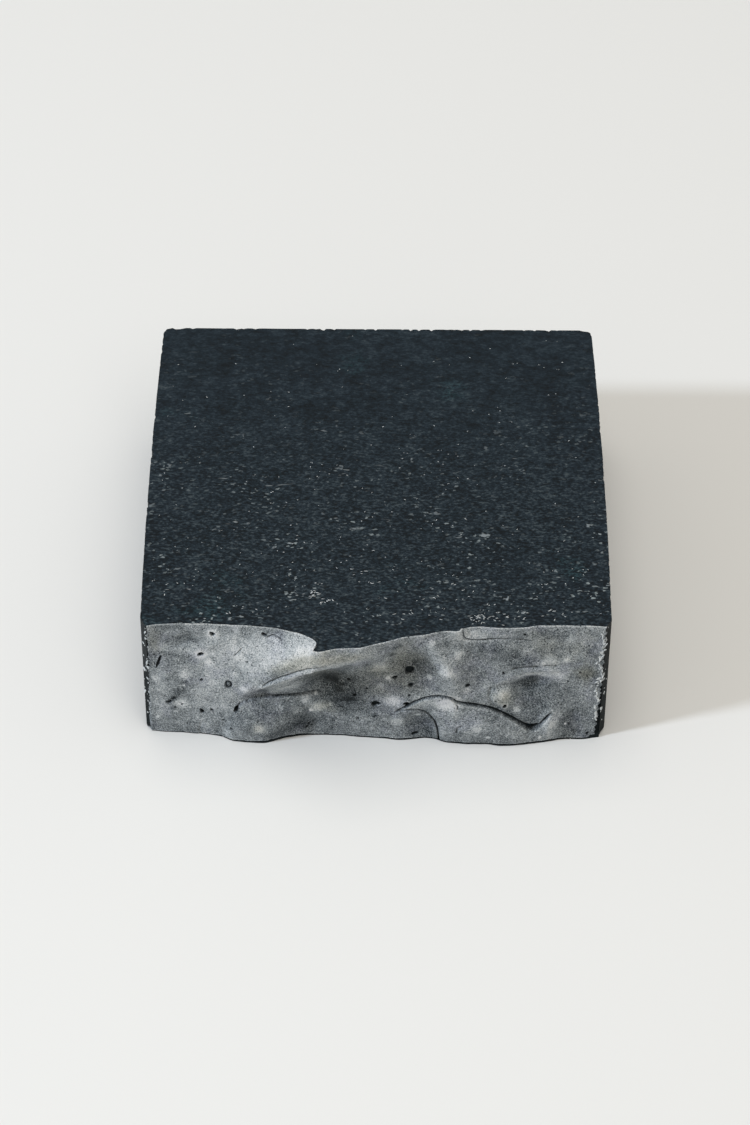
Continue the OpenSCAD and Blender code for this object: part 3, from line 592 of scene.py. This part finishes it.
def cutWalls(piece, sheet, cuts):  # rows across the walls: sheet is the number of points before the extrusion
    for edge in piece.data.edges:
        a, b = edge.vertices
        edge.select = (a < sheet) != (b < sheet)
    for face in piece.data.polygons:
        face.select = False
    editing(piece, "EDGE")
    bpy.ops.mesh.subdivide(number_cuts=cuts)
    leaveEditing()


def applyModifier(piece, kind, **settings):
    pickOnly(piece)
    modifier = piece.modifiers.new(kind.lower(), kind)
    for key, value in settings.items():
        setattr(modifier, key, value)
    bpy.ops.object.modifier_apply(modifier=modifier.name)


def finishPiece(piece, node, materials, smoothAngle=40):
    pickOnly(piece)
    bpy.ops.object.shade_smooth_by_angle(angle=math.radians(smoothAngle))
    for material in materials:
        piece.data.materials.append(material)
    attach(piece, "root")
    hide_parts(node)


def addValue(piece, name, values):
    layer = piece.data.attributes.new(name, "FLOAT", "POINT")
    layer.data.foreach_set("value", np.asarray(values, np.float32))


def ashEdge(x):
    wave = np.array([noise.noise(Vector((a * 1.3, 0, 7))) for a in x])
    return through(ashStart, x) + 0.12 * wave


def wrapped(co):  # the skin's two outer edges run on raggedly over the chamfers
    x, z = co[:, 0].copy(), co[:, 2]
    fine = np.array([noise.fractal(Vector((a, b * 1.4, 30)), 0.6, 2, 3) for a, b in zip(np.sign(x), z)])
    low = (1 - z / topZ) ** 2
    reach = np.where(x < 0, skin["leftWrap"] * low - skin["leftBack"], skin["rightWrap"] * low)
    reach = np.maximum(reach + skin["ragged"] * fine, skin["least"])
    co[:, 0] = x + np.sign(x) * reach * smooth(foldReach - 2.2, foldReach, np.abs(x))
    co[:, 1] += skin["fold"] * np.maximum(np.abs(co[:, 0]) - foldReach, 0)
    return co


def buildSkin(key, material):
    piece = shapeSheet(key + "Ash", lobes[key], skin["cell"], faceHeight, skin["tuck"], ashEdge)
    co = wrapped(readPoints(piece))
    # The powder attribute holds the ash's thickness with painted shade and painted highlights mixed in
    addValue(piece, "powderAndPaintedLight", powderAndPaintedLightAt(co[:, 0], co[:, 2]))
    addValue(piece, "stain", stainAt(co[:, 0], co[:, 2]))
    writePoints(piece, overhang(co) * mm)
    applyModifier(piece, "SOLIDIFY", thickness=skin["thick"] * mm, offset=-1, use_even_offset=False)
    finishPiece(piece, key + "_ash", [material], 60)


def underSkin(x, z):  # the soap sinks further from its edges, so that the pits can be deep
    inner = smooth(0, 0.8, topZ - z) * smooth(0.6, 1.6, z)
    foot = 1 - smooth(0.6, 1.2, z)  # bare and nearly level with the skin along the base
    return smoothHeight(x, z) - lump["under"] - lump["deep"] * inner + lump["foot"] * foot


def buildLump(key, cutMaterial, wallMaterial):  # the soap under a skin, down to the flat layer behind it
    piece = shapeSheet(key + "Fold", lobes[key], lump["cell"], underSkin)
    front = len(piece.data.vertices)
    extrudeRim(piece, (0, 1, 0), layerBackY)
    cutWalls(piece, front, lump["depthRows"])
    writePoints(piece, overhang(readPoints(piece)) * mm)
    finishPiece(piece, key + "_fold", [cutMaterial, wallMaterial])
    markCut(piece)


def markCut(piece):  # the flat cut faces take the first material, and the rest the second
    for face in piece.data.polygons:
        face.material_index = 0 if abs(face.normal.z) > 0.6 else 1


# The slice: bow, corner and chamfer are its outline; torn, nick, biteDown and wavy are how rough it is; foot is
# how much the posts beside the folds are worn away at the base
block = {"cell": 0.4, "rows": 60, "bow": 0.45, "corner": 1.5, "chamfer": 1.4, "postRows": 4, "under": 0.15,
         "torn": 0.05, "nick": 0.3, "biteDown": 0.12, "wavy": 0.05, "foot": 0.3}


def halfWidth(y):  # bowed walls that round into the two corners from the mould's bottom
    wall = bodyHigh.x / mm - block["bow"] * np.minimum((y / frontY) ** 2, 1)
    into = np.clip(y - (-frontY - block["corner"]), 0, block["corner"])
    return wall - block["corner"] + np.sqrt(block["corner"] ** 2 - into ** 2)


def postFront(side, across, z):  # the posts come as far forward as the folds beside them
    depth = layerBackY - frontY
    proud = 1 + (faceHeight(side * foldReach + 0 * z, z) - block["under"]) / depth
    return layerBackY - (depth - block["chamfer"] * across) * proud


def buildBlock(cutMaterial, wallMaterial):
    half = bodyHigh.x / mm
    cols, postRows = int(2 * half / block["cell"]), block["postRows"]
    piece = newSheet("soapBody", cols + 6, cols + postRows)  # three columns more for the post on each side
    unit = readPoints(piece) + 0.5
    post = foldReach / half  # beside the folds, a narrow post on each side comes forward to a chamfer
    corner = np.array([-1, -1 + (1 - post) / 2, -post - 1e-4, -post + 1e-4])
    inner = np.linspace(-post, post, cols + 1)[1:-1]
    places = np.concatenate([corner, inner, -corner[::-1]])
    share = np.interp(unit[:, 0], np.linspace(0, 1, len(places)), places)
    across = np.clip((np.abs(share) - post) / (1 - post), 0, 1)
    front = np.where(across > 0, frontY + block["chamfer"] * across, layerBackY)
    row = unit[:, 1] * (cols + postRows)
    y = np.where(row < postRows, front + (layerBackY - front) * row / postRows,
                 layerBackY + (row - postRows) / cols * (-frontY - layerBackY))
    seam = np.where(y < 0, foldReach, np.minimum(foldReach, post * halfWidth(y)))
    x = np.where(across > 0, seam + across * (halfWidth(y) - seam), np.abs(share) / post * seam)
    writePoints(piece, np.stack([np.sign(share) * x, y, np.full_like(x, topZ)], 1))
    editing(piece)
    bpy.ops.mesh.select_all(action="SELECT")
    bpy.ops.mesh.remove_doubles(threshold=0.02)
    leaveEditing()
    top = len(piece.data.vertices)
    extrudeRim(piece, (0, 0, -topZ))
    cutWalls(piece, top, block["rows"])
    roughen(piece, top)
    finishPiece(piece, "soap_body", [cutMaterial, wallMaterial], 30)
    markCut(piece)


def roughen(piece, top):  # drag marks on the cut, a wavy wall, and small bites out of the cut's edges
    co = readPoints(piece)
    x, y, z = co.T
    wave = np.array([noise.noise(Vector((a * 0.16, b * 0.16, c * 0.16))) for a, b, c in co])
    bite = np.array([noise.noise(Vector((a * 1.1, b * 1.1, c * 0.9 + 20))) for a, b, c in co])
    reach = np.minimum(halfWidth(y) - np.abs(x), -frontY - y)
    atWall = (1 - smooth(0, 0.5, reach)) * smooth(layerBackY + 0.3, layerBackY + 2, y)
    edge = np.exp(-np.minimum(z, topZ - z) / 0.5)
    pull = atWall * (block["wavy"] * (wave + 0.5) + block["nick"] * edge * smooth(0.15, 0.6, bite))
    sides = np.abs(x) / halfWidth(y) > y / -frontY
    co[:, 0] -= np.where(sides, np.sign(x) * pull, 0)
    co[:, 1] -= np.where(sides, 0, pull)
    proud = (layerBackY - postFront(np.sign(x), 0, z)) / (layerBackY - frontY)
    low = block["foot"] * (1 - smooth(0, 0.6, z)) * smooth(foldReach - 0.2, foldReach + 0.4, np.abs(x))
    co[:, 1] = np.where(y < layerBackY - 0.01, layerBackY + (y - layerBackY) * proud + low, co[:, 1])
    co[:, 0] -= np.sign(x) * low * (1 - smooth(layerBackY, layerBackY + 2, y))
    torn = np.array([noise.fractal(Vector((a * 0.12, b * 0.5, 3)), 0.9, 2, 4) for a, b in co[:top, :2]])
    inside = smooth(0, 1.2, reach[:top]) * smooth(layerBackY, layerBackY + 1.5, y[:top])
    co[:top, 2] -= block["torn"] * (0.6 + torn) * inside
    co[:top, 2] -= block["biteDown"] * edge[:top] * atWall[:top] * smooth(0.1, 0.5, bite[:top])
    writePoints(piece, co * mm)


def newNode(tree, kind, inputs=None, **settings):
    node = tree.nodes.new("ShaderNode" + kind)
    for key, value in settings.items():
        setattr(node, key, value)
    for key, value in (inputs or {}).items():
        node.inputs[key].default_value = value
    return node


def newGroup(name, inputs, outputs):
    tree = bpy.data.node_groups.new(name, "ShaderNodeTree")
    for key, value in inputs.items():
        kind = "NodeSocketVector" if key == "Vector" else "NodeSocketFloat"
        socket = tree.interface.new_socket(key, in_out="INPUT", socket_type=kind)
        if key != "Vector":
            socket.default_value = value
    for key in outputs:
        tree.interface.new_socket(key, in_out="OUTPUT", socket_type="NodeSocketFloat")
    return tree, tree.nodes.new("NodeGroupInput"), tree.nodes.new("NodeGroupOutput")


def fillSlots(tree, node, values):  # each value is a socket or a number
    for slot, value in enumerate(values):
        if isinstance(value, (int, float)):
            node.inputs[slot].default_value = value
        else:
            tree.links.new(value, node.inputs[slot])


def maths(tree, operation, first, second, clamp=False):
    node = newNode(tree, "Math", operation=operation, use_clamp=clamp)
    fillSlots(tree, node, (first, second))
    return node.outputs["Value"]


def times(tree, first, second):
    return maths(tree, "MULTIPLY", first, second)


def plus(tree, first, second):
    return maths(tree, "ADD", first, second)


def eased(tree, value, low, high, toLow=0, toHigh=1):
    node = newNode(tree, "MapRange", interpolation_type="SMOOTHSTEP")
    fillSlots(tree, node, (value, low, high, toLow, toHigh))
    return node.outputs["Result"]


def fleckGroup():  # scattered small marks: share is how many cells hold one, size how much of the cell it fills
    tree, inp, out = newGroup("flecks", {"Vector": None, "Scale": 900, "Share": 0.3, "Size": 0.3, "Ragged": 0.3},
                              ["Mask", "Tint"])
    bend = newNode(tree, "TexNoise", {"Detail": 1})
    tree.links.new(inp.outputs["Vector"], bend.inputs["Vector"])
    tree.links.new(times(tree, inp.outputs["Scale"], 1.7), bend.inputs["Scale"])
    away = newNode(tree, "VectorMath", {1: (0.5, 0.5, 0.5)}, operation="SUBTRACT")
    tree.links.new(bend.outputs["Color"], away.inputs[0])
    shift = newNode(tree, "VectorMath", operation="SCALE")
    tree.links.new(away.outputs["Vector"], shift.inputs["Vector"])
    tree.links.new(maths(tree, "DIVIDE", inp.outputs["Ragged"], inp.outputs["Scale"]), shift.inputs["Scale"])
    moved = newNode(tree, "VectorMath", operation="ADD")
    tree.links.new(inp.outputs["Vector"], moved.inputs[0])
    tree.links.new(shift.outputs["Vector"], moved.inputs[1])
    cells = newNode(tree, "TexVoronoi")
    tree.links.new(moved.outputs["Vector"], cells.inputs["Vector"])
    tree.links.new(inp.outputs["Scale"], cells.inputs["Scale"])
    pick = newNode(tree, "SeparateColor")
    tree.links.new(cells.outputs["Color"], pick.inputs["Color"])
    chosen = maths(tree, "LESS_THAN", pick.outputs["Red"], inp.outputs["Share"])
    size = times(tree, inp.outputs["Size"], eased(tree, pick.outputs["Green"], 0, 1, 0.45, 1))
    body = eased(tree, cells.outputs["Distance"], size, times(tree, size, 0.55), 0, 1)
    tree.links.new(times(tree, body, chosen), out.inputs["Mask"])
    tree.links.new(pick.outputs["Blue"], out.inputs["Tint"])
    return tree


def grainGroup():  # fine powdery grain over broader cloudiness
    tree, inp, out = newGroup("grain", {"Vector": None, "Fine": 3200, "Broad": 320, "Contrast": 1},
                              ["Fine", "Cloud", "Height"])
    fine = newNode(tree, "TexNoise", {"Detail": 3, "Roughness": 0.7})
    broad = newNode(tree, "TexNoise", {"Detail": 4, "Roughness": 0.6})
    for node, key in ((fine, "Fine"), (broad, "Broad")):
        tree.links.new(inp.outputs["Vector"], node.inputs["Vector"])
        tree.links.new(inp.outputs[key], node.inputs["Scale"])
    for node, key in ((fine, "Fine"), (broad, "Cloud")):
        centred = maths(tree, "SUBTRACT", node.outputs["Fac"], 0.5)
        tree.links.new(times(tree, centred, inp.outputs["Contrast"]), out.inputs[key])
    low = times(tree, broad.outputs["Fac"], 2)
    tree.links.new(plus(tree, fine.outputs["Fac"], low), out.inputs["Height"])
    return tree


def placed(tree, group, vector, **values):
    node = newNode(tree, "Group", node_tree=group)
    tree.links.new(vector, node.inputs["Vector"])
    for key, value in values.items():
        node.inputs[key].default_value = value
    return node


def blended(tree, factor, first, second):  # colours are sockets or triples
    node = newNode(tree, "Mix", data_type="RGBA")
    if isinstance(factor, (int, float)):
        node.inputs["Factor"].default_value = factor
    else:
        tree.links.new(factor, node.inputs["Factor"])
    for slot, color in ((6, first), (7, second)):
        if isinstance(color, tuple):
            node.inputs[slot].default_value = (*color, 1)
        else:
            tree.links.new(color, node.inputs[slot])
    return node.outputs[2]


def ramped(tree, value, stops):
    node = newNode(tree, "ValToRGB")
    while len(node.color_ramp.elements) < len(stops):
        node.color_ramp.elements.new(0.5)
    for element, (place, color) in zip(node.color_ramp.elements, stops):
        element.position = place
        element.color = (*color, 1)
    tree.links.new(value, node.inputs["Fac"])
    return node.outputs["Color"]


def startMaterial(name, rough, specular):
    material = bpy.data.materials.new(name)
    material.use_nodes = True
    tree = material.node_tree
    shader = tree.nodes["Principled BSDF"]
    shader.inputs["Roughness"].default_value = rough
    shader.inputs["Specular IOR Level"].default_value = specular
    place = newNode(tree, "TexCoord").outputs["Object"]
    return material, tree, shader, place


def stretched(tree, vector, turn, scale):
    node = newNode(tree, "Mapping", {"Rotation": (0, 0, math.radians(turn)), "Scale": scale})
    tree.links.new(vector, node.inputs["Vector"])
    return node.outputs["Vector"]


def raised(tree, shader, height, distance, strength=1):
    bump = newNode(tree, "Bump", {"Distance": distance, "Strength": strength})
    tree.links.new(height, bump.inputs["Height"])
    tree.links.new(bump.outputs["Normal"], shader.inputs["Normal"])


def cutSoap(flecks, grain):  # the wire-cut face: dark charcoal soap with pale flecks, partly pale crumbs and partly painted glints where torn edges catch the light
    material, tree, shader, place = startMaterial("charcoalCut", 0.6, 0.16)
    drag = stretched(tree, place, 14, (0.6, 1, 1))
    base = placed(tree, grain, place, Fine=1500, Broad=140)
    streak = placed(tree, grain, drag, Fine=2300, Broad=800)
    split = newNode(tree, "SeparateXYZ")
    tree.links.new(place, split.inputs["Vector"])
    crisp = eased(tree, split.outputs["Y"], 0.035, -0.02, 0.9, 2.5)  # smoother and cleaner towards the back
    nearer = eased(tree, split.outputs["Y"], 0.034, -0.03, 0.08, 1)
    shade = plus(tree, times(tree, streak.outputs["Fine"], crisp),
                 plus(tree, times(tree, base.outputs["Cloud"], 0.5), streak.outputs["Cloud"]))
    color = ramped(tree, plus(tree, shade, 0.5), [
        (0.2, (0.003, 0.006, 0.0085)), (0.5, (0.0078, 0.0152, 0.0222)), (0.68, (0.017, 0.028, 0.038)),
        (0.95, (0.05, 0.065, 0.072))])
    cluster = placed(tree, grain, place, Fine=500, Broad=90, Contrast=1)
    patchy = eased(tree, cluster.outputs["Cloud"], -0.06, 0.14, 0.15, 1)
    dustAndGlints = placed(tree, flecks, drag, Scale=1500, Share=0.4, Size=0.4, Ragged=1)
    chips = placed(tree, flecks, drag, Scale=760, Share=0.22, Size=0.36, Ragged=1.6)
    flakesAndGlints = placed(tree, flecks, stretched(tree, place, 24, (0.36, 1, 1)), Scale=430, Share=0.08, Size=0.28,
                    Ragged=1.8)
    thick = times(tree, patchy, nearer)
    # Pale flecks: partly real crumbs and dust, partly painted glints where torn edges catch the light
    for marks, share, tone in ((dustAndGlints, 0.85, (0.26, 0.3, 0.31)), (chips, 0.8, (0.3, 0.34, 0.36)),
                               (flakesAndGlints, 0.8, (0.5, 0.54, 0.55))):
        amount = times(tree, marks.outputs["Mask"], thick)
        color = blended(tree, times(tree, amount, share), color, tone)
    smear = placed(tree, grain, place, Fine=900, Broad=55)
    teal = times(tree, eased(tree, smear.outputs["Cloud"], 0.1, 0.22),
                 eased(tree, streak.outputs["Fine"], -0.1, 0.15, 0, 0.08))
    color = blended(tree, teal, color, (0.03, 0.19, 0.2))
    tree.links.new(color, shader.inputs["Base Color"])
    height = plus(tree, times(tree, streak.outputs["Height"], 0.6), chips.outputs["Mask"])
    raised(tree, shader, height, 0.00016, 0.8)
    return material


def mouldedSoap(flecks, grain):  # the faces that set against the mould: smoother, with a thin bloom and pinholes
    material, tree, shader, place = startMaterial("charcoalMoulded", 0.68, 0.09)
    base = placed(tree, grain, place, Fine=2200, Broad=130)
    shade = plus(tree, times(tree, base.outputs["Fine"], 0.8), base.outputs["Cloud"])
    color = ramped(tree, plus(tree, shade, 0.5), [
        (0.2, (0.004, 0.0065, 0.0075)), (0.55, (0.0078, 0.0115, 0.013)), (0.85, (0.018, 0.023, 0.025))])
    bloom = placed(tree, grain, place, Fine=1300, Broad=45, Contrast=1)
    hazy = times(tree, eased(tree, bloom.outputs["Cloud"], 0, 0.25),
                 eased(tree, bloom.outputs["Fine"], -0.15, 0.2, 0.02, 0.12))
    color = blended(tree, hazy, color, (0.22, 0.24, 0.25))
    holes = placed(tree, flecks, place, Scale=420, Share=0.1, Size=0.16, Ragged=0.3)
    color = blended(tree, holes.outputs["Mask"], color, (0.004, 0.006, 0.007))
    dots = placed(tree, flecks, place, Scale=1100, Share=0.05, Size=0.22, Ragged=0.8)
    color = blended(tree, times(tree, dots.outputs["Mask"], 0.5), color, (0.34, 0.36, 0.36))
    tree.links.new(color, shader.inputs["Base Color"])
    tree.links.new(eased(tree, base.outputs["Cloud"], -0.2, 0.2, 0.55, 0.72), shader.inputs["Roughness"])
    height = maths(tree, "SUBTRACT", base.outputs["Height"], times(tree, holes.outputs["Mask"], 4))
    raised(tree, shader, height, 0.00012, 0.6)
    return material


# The ash's colours from bare soap to thick powder, at these amounts of it
ashStops = (0, 0.2, 0.5, 0.75, 1)
ashColors = {"cold": ((0.005, 0.008, 0.009), (0.046, 0.056, 0.064), (0.196, 0.217, 0.229),
                      (0.393, 0.424, 0.438), (0.66, 0.67, 0.675)),
             "warm": ((0.006, 0.008, 0.008), (0.052, 0.057, 0.054), (0.2, 0.211, 0.194),
                      (0.37, 0.38, 0.348), (0.62, 0.61, 0.57)),
             "lilac": ((0.005, 0.008, 0.01), (0.046, 0.053, 0.07), (0.194, 0.21, 0.25),
                       (0.392, 0.414, 0.47), (0.65, 0.66, 0.7))}


def sodaAsh(flecks, grain):  # the pale crust; the powder attribute is its thickness with painted shade and painted highlights mixed in, and the stain attribute its beige
    material, tree, shader, place = startMaterial("sodaAsh", 0.88, 0.18)
    powderAndPaintedLight = newNode(tree, "Attribute", attribute_name="powderAndPaintedLight").outputs["Fac"]
    stain = newNode(tree, "Attribute", attribute_name="stain").outputs["Fac"]
    base = placed(tree, grain, place, Fine=5200, Broad=900)
    wide = placed(tree, grain, place, Fine=2300, Broad=190)
    dots = placed(tree, flecks, place, Scale=2500, Share=0.36, Size=0.36, Ragged=0.7)
    spots = placed(tree, flecks, place, Scale=800, Share=0.07, Size=0.2, Ragged=0.6)
    salt = placed(tree, flecks, place, Scale=1700, Share=0.1, Size=0.3, Ragged=0.6)
    amount = powderAndPaintedLight
    for source, key, share in ((base, "Fine", 1.9), (wide, "Fine", 0.55), (base, "Cloud", 0.3),
                               (wide, "Cloud", 0.4), (dots, "Mask", -0.52), (spots, "Mask", -0.5),
                               (salt, "Mask", 0.14)):
        amount = plus(tree, amount, times(tree, source.outputs[key], share))
    covered = eased(tree, powderAndPaintedLight, 0.02, 0.2)
    amount = maths(tree, "MULTIPLY", amount, covered, True)
    cold, warm, lilac = [ramped(tree, amount, list(zip(ashStops, ashColors[key])))
                         for key in ("cold", "warm", "lilac")]
    tint = eased(tree, plus(tree, stain, times(tree, wide.outputs["Cloud"], 1.2)), 0.1, 0.9)
    hue = placed(tree, grain, place, Fine=1300, Broad=240)
    color = blended(tree, eased(tree, hue.outputs["Cloud"], 0, 0.15, 0, 0.45), cold, lilac)
    color = blended(tree, tint, color, warm)
    tree.links.new(color, shader.inputs["Base Color"])
    tree.links.new(eased(tree, amount, 0, 0.4, 0.6, 0.9), shader.inputs["Roughness"])
    height = plus(tree, base.outputs["Height"], times(tree, dots.outputs["Mask"], -0.8))
    raised(tree, shader, plus(tree, height, salt.outputs["Mask"]), 0.00014, 0.8)
    return material


def paleChip(flecks, grain):  # loose flakes of soap and ash
    material, tree, shader, place = startMaterial("paleChip", 0.7, 0.3)
    base = placed(tree, grain, place, Fine=2600, Broad=700)
    shade = plus(tree, plus(tree, base.outputs["Fine"], base.outputs["Cloud"]), 0.5)
    color = ramped(tree, shade, [(0.25, (0.3, 0.32, 0.33)), (0.6, (0.6, 0.63, 0.64)), (0.9, (0.86, 0.88, 0.88))])
    tree.links.new(color, shader.inputs["Base Color"])
    raised(tree, shader, base.outputs["Height"], 0.0001, 0.6)
    return material


def paperFloor(flecks, grain):
    material, tree, shader, place = startMaterial("palePaper", 0.75, 0.2)
    base = placed(tree, grain, place, Fine=900, Broad=2)
    color = ramped(tree, plus(tree, base.outputs["Cloud"], 0.5), [
        (0, (0.79, 0.79, 0.78)), (1, (0.81, 0.81, 0.8))])
    tree.links.new(color, shader.inputs["Base Color"])
    return material


flecks, grain = fleckGroup(), grainGroup()
soap, wall, ash, chip, paper = [make(flecks, grain) for make in
                                (cutSoap, mouldedSoap, sodaAsh, paleChip, paperFloor)]
print("materials made")

buildBlock(soap, wall)
print("block made")
for key in lobes:
    buildLump(key, soap, wall)
    buildSkin(key, ash)
print("folds made")


# Loose pale chips lie on the cut face, thickest near the folds; clusters are (x, y, reach, count)
chips = {"seed": 21, "count": 260, "reach": 37, "deep": 73, "gather": 1.8, "turn": 18, "clear": 0.6,
         "clusters": [(-10.5, -31, 1.6, 16), (-8.5, -32.5, 1, 8), (-21, -35, 3, 8), (17.4, -36.2, 3, 36),
                      (22.5, -35.6, 3, 12), (12, -31, 5, 12), (5, -36, 4, 8), (29, -35.4, 4, 8),
                      (-33, -30, 3, 7), (-2, -27, 7, 14)]}
# Crumbs stand on the two front corners, and a broken line of ash follows the knots (x, z) at the right
crumbs = {"seed": 5, "left": 38, "right": 16, "perKnot": 10, "across": 0.88, "kept": 0.75, "facing": 57,
          "knots": [(36.5, 24.2), (36.9, 21.6), (36.7, 19.6), (36.3, 17.4), (36.9, 14.4), (36.1, 12),
                    (36.4, 9), (36.2, 6.4), (36.4, 4)]}


def heightAt(x, z):
    return faceHeight(np.array([x]), np.array([z]))[0]


def buildChips(material):
    rng = np.random.default_rng(chips["seed"])
    side = chips["reach"]
    spots = [(rng.uniform(-side, side), side - chips["deep"] * rng.power(chips["gather"]))
             for _ in range(chips["count"])]
    for cx, cy, reach, count in chips["clusters"]:
        spots += [(cx + rng.normal(0, reach * 0.5), cy + rng.normal(0, reach * 0.3)) for _ in range(count)]
    pieces = []
    for index, (x, y) in enumerate(spots):
        clustered = index >= chips["count"]
        long = rng.uniform(0.1, 0.26) * (1.5 if clustered else 0.8)
        edgeY = frontY - heightAt(x, topZ)
        if y < edgeY + chips["clear"] or abs(x) > side + 0.2:
            y = edgeY + chips["clear"] + 0.1 + rng.uniform(0, 1.5)
        pieces.append(((x, y, topZ + 0.01), (long, rng.uniform(0.035, 0.07), rng.uniform(0.03, 0.06)),
                       (rng.normal(0, 12), rng.normal(0, 14), chips["turn"] + rng.normal(0, 34)),
                       rng.uniform(-0.5, 0.5)))
    scatterFlakes("paleGrains", "pale_grains", pieces, material)


def scatterFlakes(name, node, pieces, material):  # one flake, copied to each place, and all joined
    bpy.ops.object.select_all(action="DESELECT")
    bpy.ops.mesh.primitive_ico_sphere_add(subdivisions=1, radius=1)
    flake = bpy.context.object
    flake.name = flake.data.name = name
    shape = readPoints(flake)
    copies = [flake] + [flake.copy() for _ in pieces[1:]]
    for copy in copies[1:]:
        copy.data = flake.data.copy()
        bpy.context.collection.objects.link(copy)
    for index, (copy, (place, size, turn, curl)) in enumerate(zip(copies, pieces)):
        uneven = 1 + 0.35 * np.sin(shape * 3 + index * 1.7)[:, [1, 2, 0]]
        co = shape * uneven * np.array(size)
        co[:, 1] += curl * (co[:, 0] ** 2) / size[0]
        tilt, lean, spin = [Matrix.Rotation(math.radians(angle), 3, axis) for angle, axis in zip(turn, "XYZ")]
        co = co @ np.array(spin @ lean @ tilt).T + np.array(place)
        writePoints(copy, co * mm)
    pickOnly(flake)
    for copy in copies:
        copy.select_set(True)
    bpy.ops.object.join()
    finishPiece(flake, node, [material], 80)


def buildCrumbs(material):  # ragged flakes where the skin broke from the block's two front corners
    rng = np.random.default_rng(crumbs["seed"])
    pieces = []
    for side, count in ((-1, crumbs["left"]), (1, crumbs["right"])):
        for _ in range(count):
            z = topZ * rng.uniform(0.02, 0.985)
            across = rng.beta(0.5, 0.7)
            y = postFront(side, across, np.array([z]))[0]
            place = (side * (foldReach + crumbs["across"] * across), y - 0.03, z)
            size = rng.uniform(0.4, 1.5) * np.array([0.18, 0.1, rng.uniform(0.16, 0.34)])
            turn = (rng.normal(0, 10), rng.normal(0, 30), side * crumbs["facing"])
            pieces.append((place, size, turn, rng.uniform(-0.3, 0.3)))
    for (ax, az), (bx, bz) in zip(crumbs["knots"], crumbs["knots"][1:]):
        lean = math.degrees(math.atan2(bx - ax, bz - az))
        for t in np.linspace(0, 1, crumbs["perKnot"])[:-1]:
            x, z = ax + (bx - ax) * t, az + (bz - az) * t
            if rng.random() < crumbs["kept"]:
                place = (x + rng.normal(0, 0.16), frontY - max(heightAt(x, z), 0) - 0.02, z)
                size = (rng.uniform(0.08, 0.3), 0.1, rng.uniform(0.2, 0.6))
                pieces.append((place, size, (rng.normal(0, 8), rng.normal(lean, 28), 20), 0.2))
    scatterFlakes("edgeCrumbs", "edge_crumbs", pieces, material)


buildChips(chip)
buildCrumbs(chip)
print("chips scattered")


warmWhite = (1, 0.968, 0.905)
keyLight = {"above": 32.8, "toward": (-0.942, -0.336, 0), "away": 1.6, "size": 0.18, "power": 14.6,
            "color": (0.79, 0.88, 1)}
overhead = {"place": (0.1, -0.3, 1.5), "size": 0.9, "deep": 3, "power": 16.6}
skyPower = 0.36


def buildFloor(material):
    bpy.ops.object.select_all(action="DESELECT")
    bpy.ops.mesh.primitive_plane_add(size=6)
    floor = bpy.context.object
    floor.name = "floor"
    floor.data.materials.append(material)


def areaLight(name, place, size, power, color, deep=None):
    bpy.ops.object.light_add(type="AREA", location=place)
    lamp = bpy.context.object
    lamp.name = name
    lamp.data.shape = "RECTANGLE" if deep else "DISK"
    lamp.data.size = size
    lamp.data.size_y = deep or size
    lamp.data.energy = power
    lamp.data.color = color
    lamp.rotation_euler = Vector(place).to_track_quat("Z", "Y").to_euler()


def lightStage():
    above = math.radians(keyLight["above"])
    toward = Vector(keyLight["toward"]).normalized() * math.cos(above)
    keyPlace = (toward + Vector((0, 0, math.sin(above)))) * keyLight["away"]
    areaLight("keyLight", keyPlace, keyLight["size"], keyLight["power"], keyLight["color"])
    areaLight("overheadStrip", overhead["place"], overhead["size"], overhead["power"], warmWhite,
              overhead["deep"])
    world = bpy.data.worlds.new("studio")
    bpy.context.scene.world = world
    world.use_nodes = True
    world.node_tree.nodes["Background"].inputs["Color"].default_value = (*warmWhite, 1)
    world.node_tree.nodes["Background"].inputs["Strength"].default_value = skyPower
    bpy.context.scene.view_settings.view_transform = "Standard"


buildFloor(paper)
lightStage()

print("scene ready")
